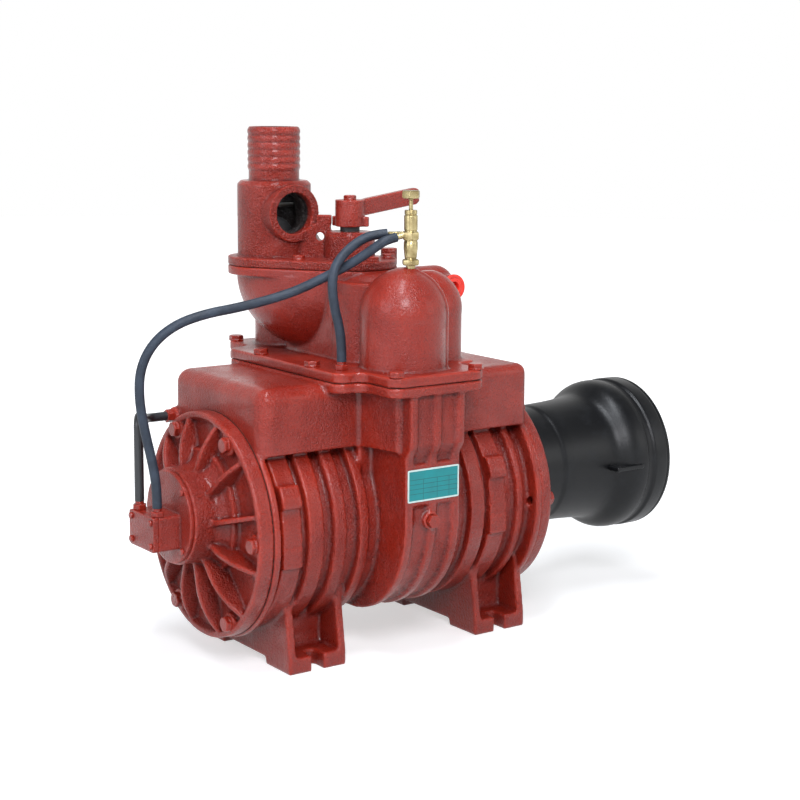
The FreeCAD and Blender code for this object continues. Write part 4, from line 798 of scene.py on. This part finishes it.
# CAD nodes whose shape stays, with their finishes
seal = plain_rubber("seal_rubber", (30, 30, 31))
FINISHES = {
    "suction_pipe": black_pipe_paint(), "drive_shaft": bright,
    "rotor": worked_steel("rotor_iron", (140, 138, 135), 0.4), "vanes": composite(),
    "drive_gear": bright, "idler_gear": bright, "idler_pin": bright,
    "changeover_plug": dark_steel, "ball_stop": dark_steel, "non_return_ball": seal,
    "rear_shaft_seal": seal, "front_shaft_seal": seal, "stem_seal": seal,
}
for end in ("rear", "front"):
    for part in ("outer", "inner", "rollers"):
        FINISHES[f"{end}_bearing_{part}"] = bright
card = plain_rubber("gasket_card", (52, 30, 26), 0.8)
for name in ("rear_cover_gasket", "front_cover_gasket", "manifold_gasket", "head_gasket"):
    FINISHES[name] = card
for name, material in FINISHES.items():
    piece = frame["nodes"][name]
    painted(piece, material)
    smooth(piece, 35)


# floor, backdrop and light

def seen(tree):
    """1 for what the camera, a reflection or clear stuff sees, and 0 for light itself."""
    rays = tree.nodes.new("ShaderNodeLightPath")
    share = Value(tree, rays.outputs["Is Camera Ray"])
    for name in ("Is Glossy Ray", "Is Transmission Ray"):
        share = share.at_least(Value(tree, rays.outputs[name]))
    return share


def white_floor():
    """Floor that looks white but keeps the pump's shadow."""
    bpy.ops.object.select_all(action="DESELECT")
    bpy.ops.mesh.primitive_circle_add(vertices=96, radius=9, fill_type="NGON",
                                      location=(0, 0, -0.0004))
    floor = bpy.context.object
    floor.name = "floor"
    bpy.ops.object.transform_apply(location=True, rotation=True, scale=True)
    white = Finish("floor_white", Roughness=0.9)
    mottle = white.noise(3, 2)
    white.feed("Base Color", white.blend(mottle, (0.60, 0.60, 0.60, 1), (0.63, 0.63, 0.63, 1)))
    away = white.node("ShaderNodeVectorMath", {"operation": "LENGTH"}, {0: white.place}, 1)
    lift = white.ramp(away / 4, (0.0, 0.56), (0.14, 0.58), (0.45, 1.0))
    white.feed("Emission Color", white.blend(seen(white.tree), (0, 0, 0, 1), lift))
    white.shader.inputs["Emission Strength"].default_value = 1.0
    floor.data.materials.append(white.material)


def studio():
    """Soft even light, with white walls and a dim ceiling for what reflects."""
    world = bpy.data.worlds.new("studio")
    bpy.context.scene.world = world
    world.use_nodes = True
    tree = world.node_tree
    tree.nodes.clear()
    out = tree.nodes.new("ShaderNodeOutputWorld")
    soft = tree.nodes.new("ShaderNodeBackground")
    soft.inputs["Color"].default_value = (0.9, 0.94, 1.0, 1)
    soft.inputs["Strength"].default_value = 0.26
    shown = tree.nodes.new("ShaderNodeBackground")
    where = tree.nodes.new("ShaderNodeTexCoord")
    parts = tree.nodes.new("ShaderNodeSeparateXYZ")
    tree.links.new(where.outputs["Generated"], parts.inputs[0])
    sky = tree.nodes.new("ShaderNodeValToRGB")
    for stop, (height, shade) in zip(sky.color_ramp.elements, ((0.42, 1.0), (0.80, 0.22))):
        stop.position = height
        stop.color = (shade, shade, shade, 1)
    tree.links.new(parts.outputs[2], sky.inputs[0])
    tree.links.new(sky.outputs[0], shown.inputs["Color"])
    shown.inputs["Strength"].default_value = 1.0
    mix = tree.nodes.new("ShaderNodeMixShader")
    tree.links.new(seen(tree).socket, mix.inputs[0])
    tree.links.new(soft.outputs[0], mix.inputs[1])
    tree.links.new(shown.outputs[0], mix.inputs[2])
    tree.links.new(mix.outputs[0], out.inputs[0])


def lamp(name, place, aim, size, watts, colour=(1, 1, 1)):
    bpy.ops.object.light_add(type="AREA", location=place)
    light = bpy.context.object
    light.name = name
    light.rotation_euler = (Vector(aim) - Vector(place)).to_track_quat("-Z", "Y").to_euler()
    light.data.shape = "RECTANGLE"
    light.data.size, light.data.size_y = size
    light.data.energy = watts
    light.data.color = colour


white_floor()
studio()
lamp("window", (-1.3, -2.4, 2.1), (0, 0, 0.35), (1.0, 1.0), 74, (0.94, 0.95, 1.0))
lamp("ceiling_strip", (-0.5, -0.6, 3.0), (0, 0, 0.3), (0.4, 2.0), 74, (0.90, 0.94, 1.0))
lamp("side", (-2.6, -0.4, 1.3), (0, 0, 0.3), (1.3, 1.3), 24, (0.88, 0.90, 1.0))
lamp("fill", (1.9, -2.2, 1.2), (0, 0, 0.35), (1.2, 1.2), 9)
bpy.context.scene.view_settings.view_transform = "Standard"
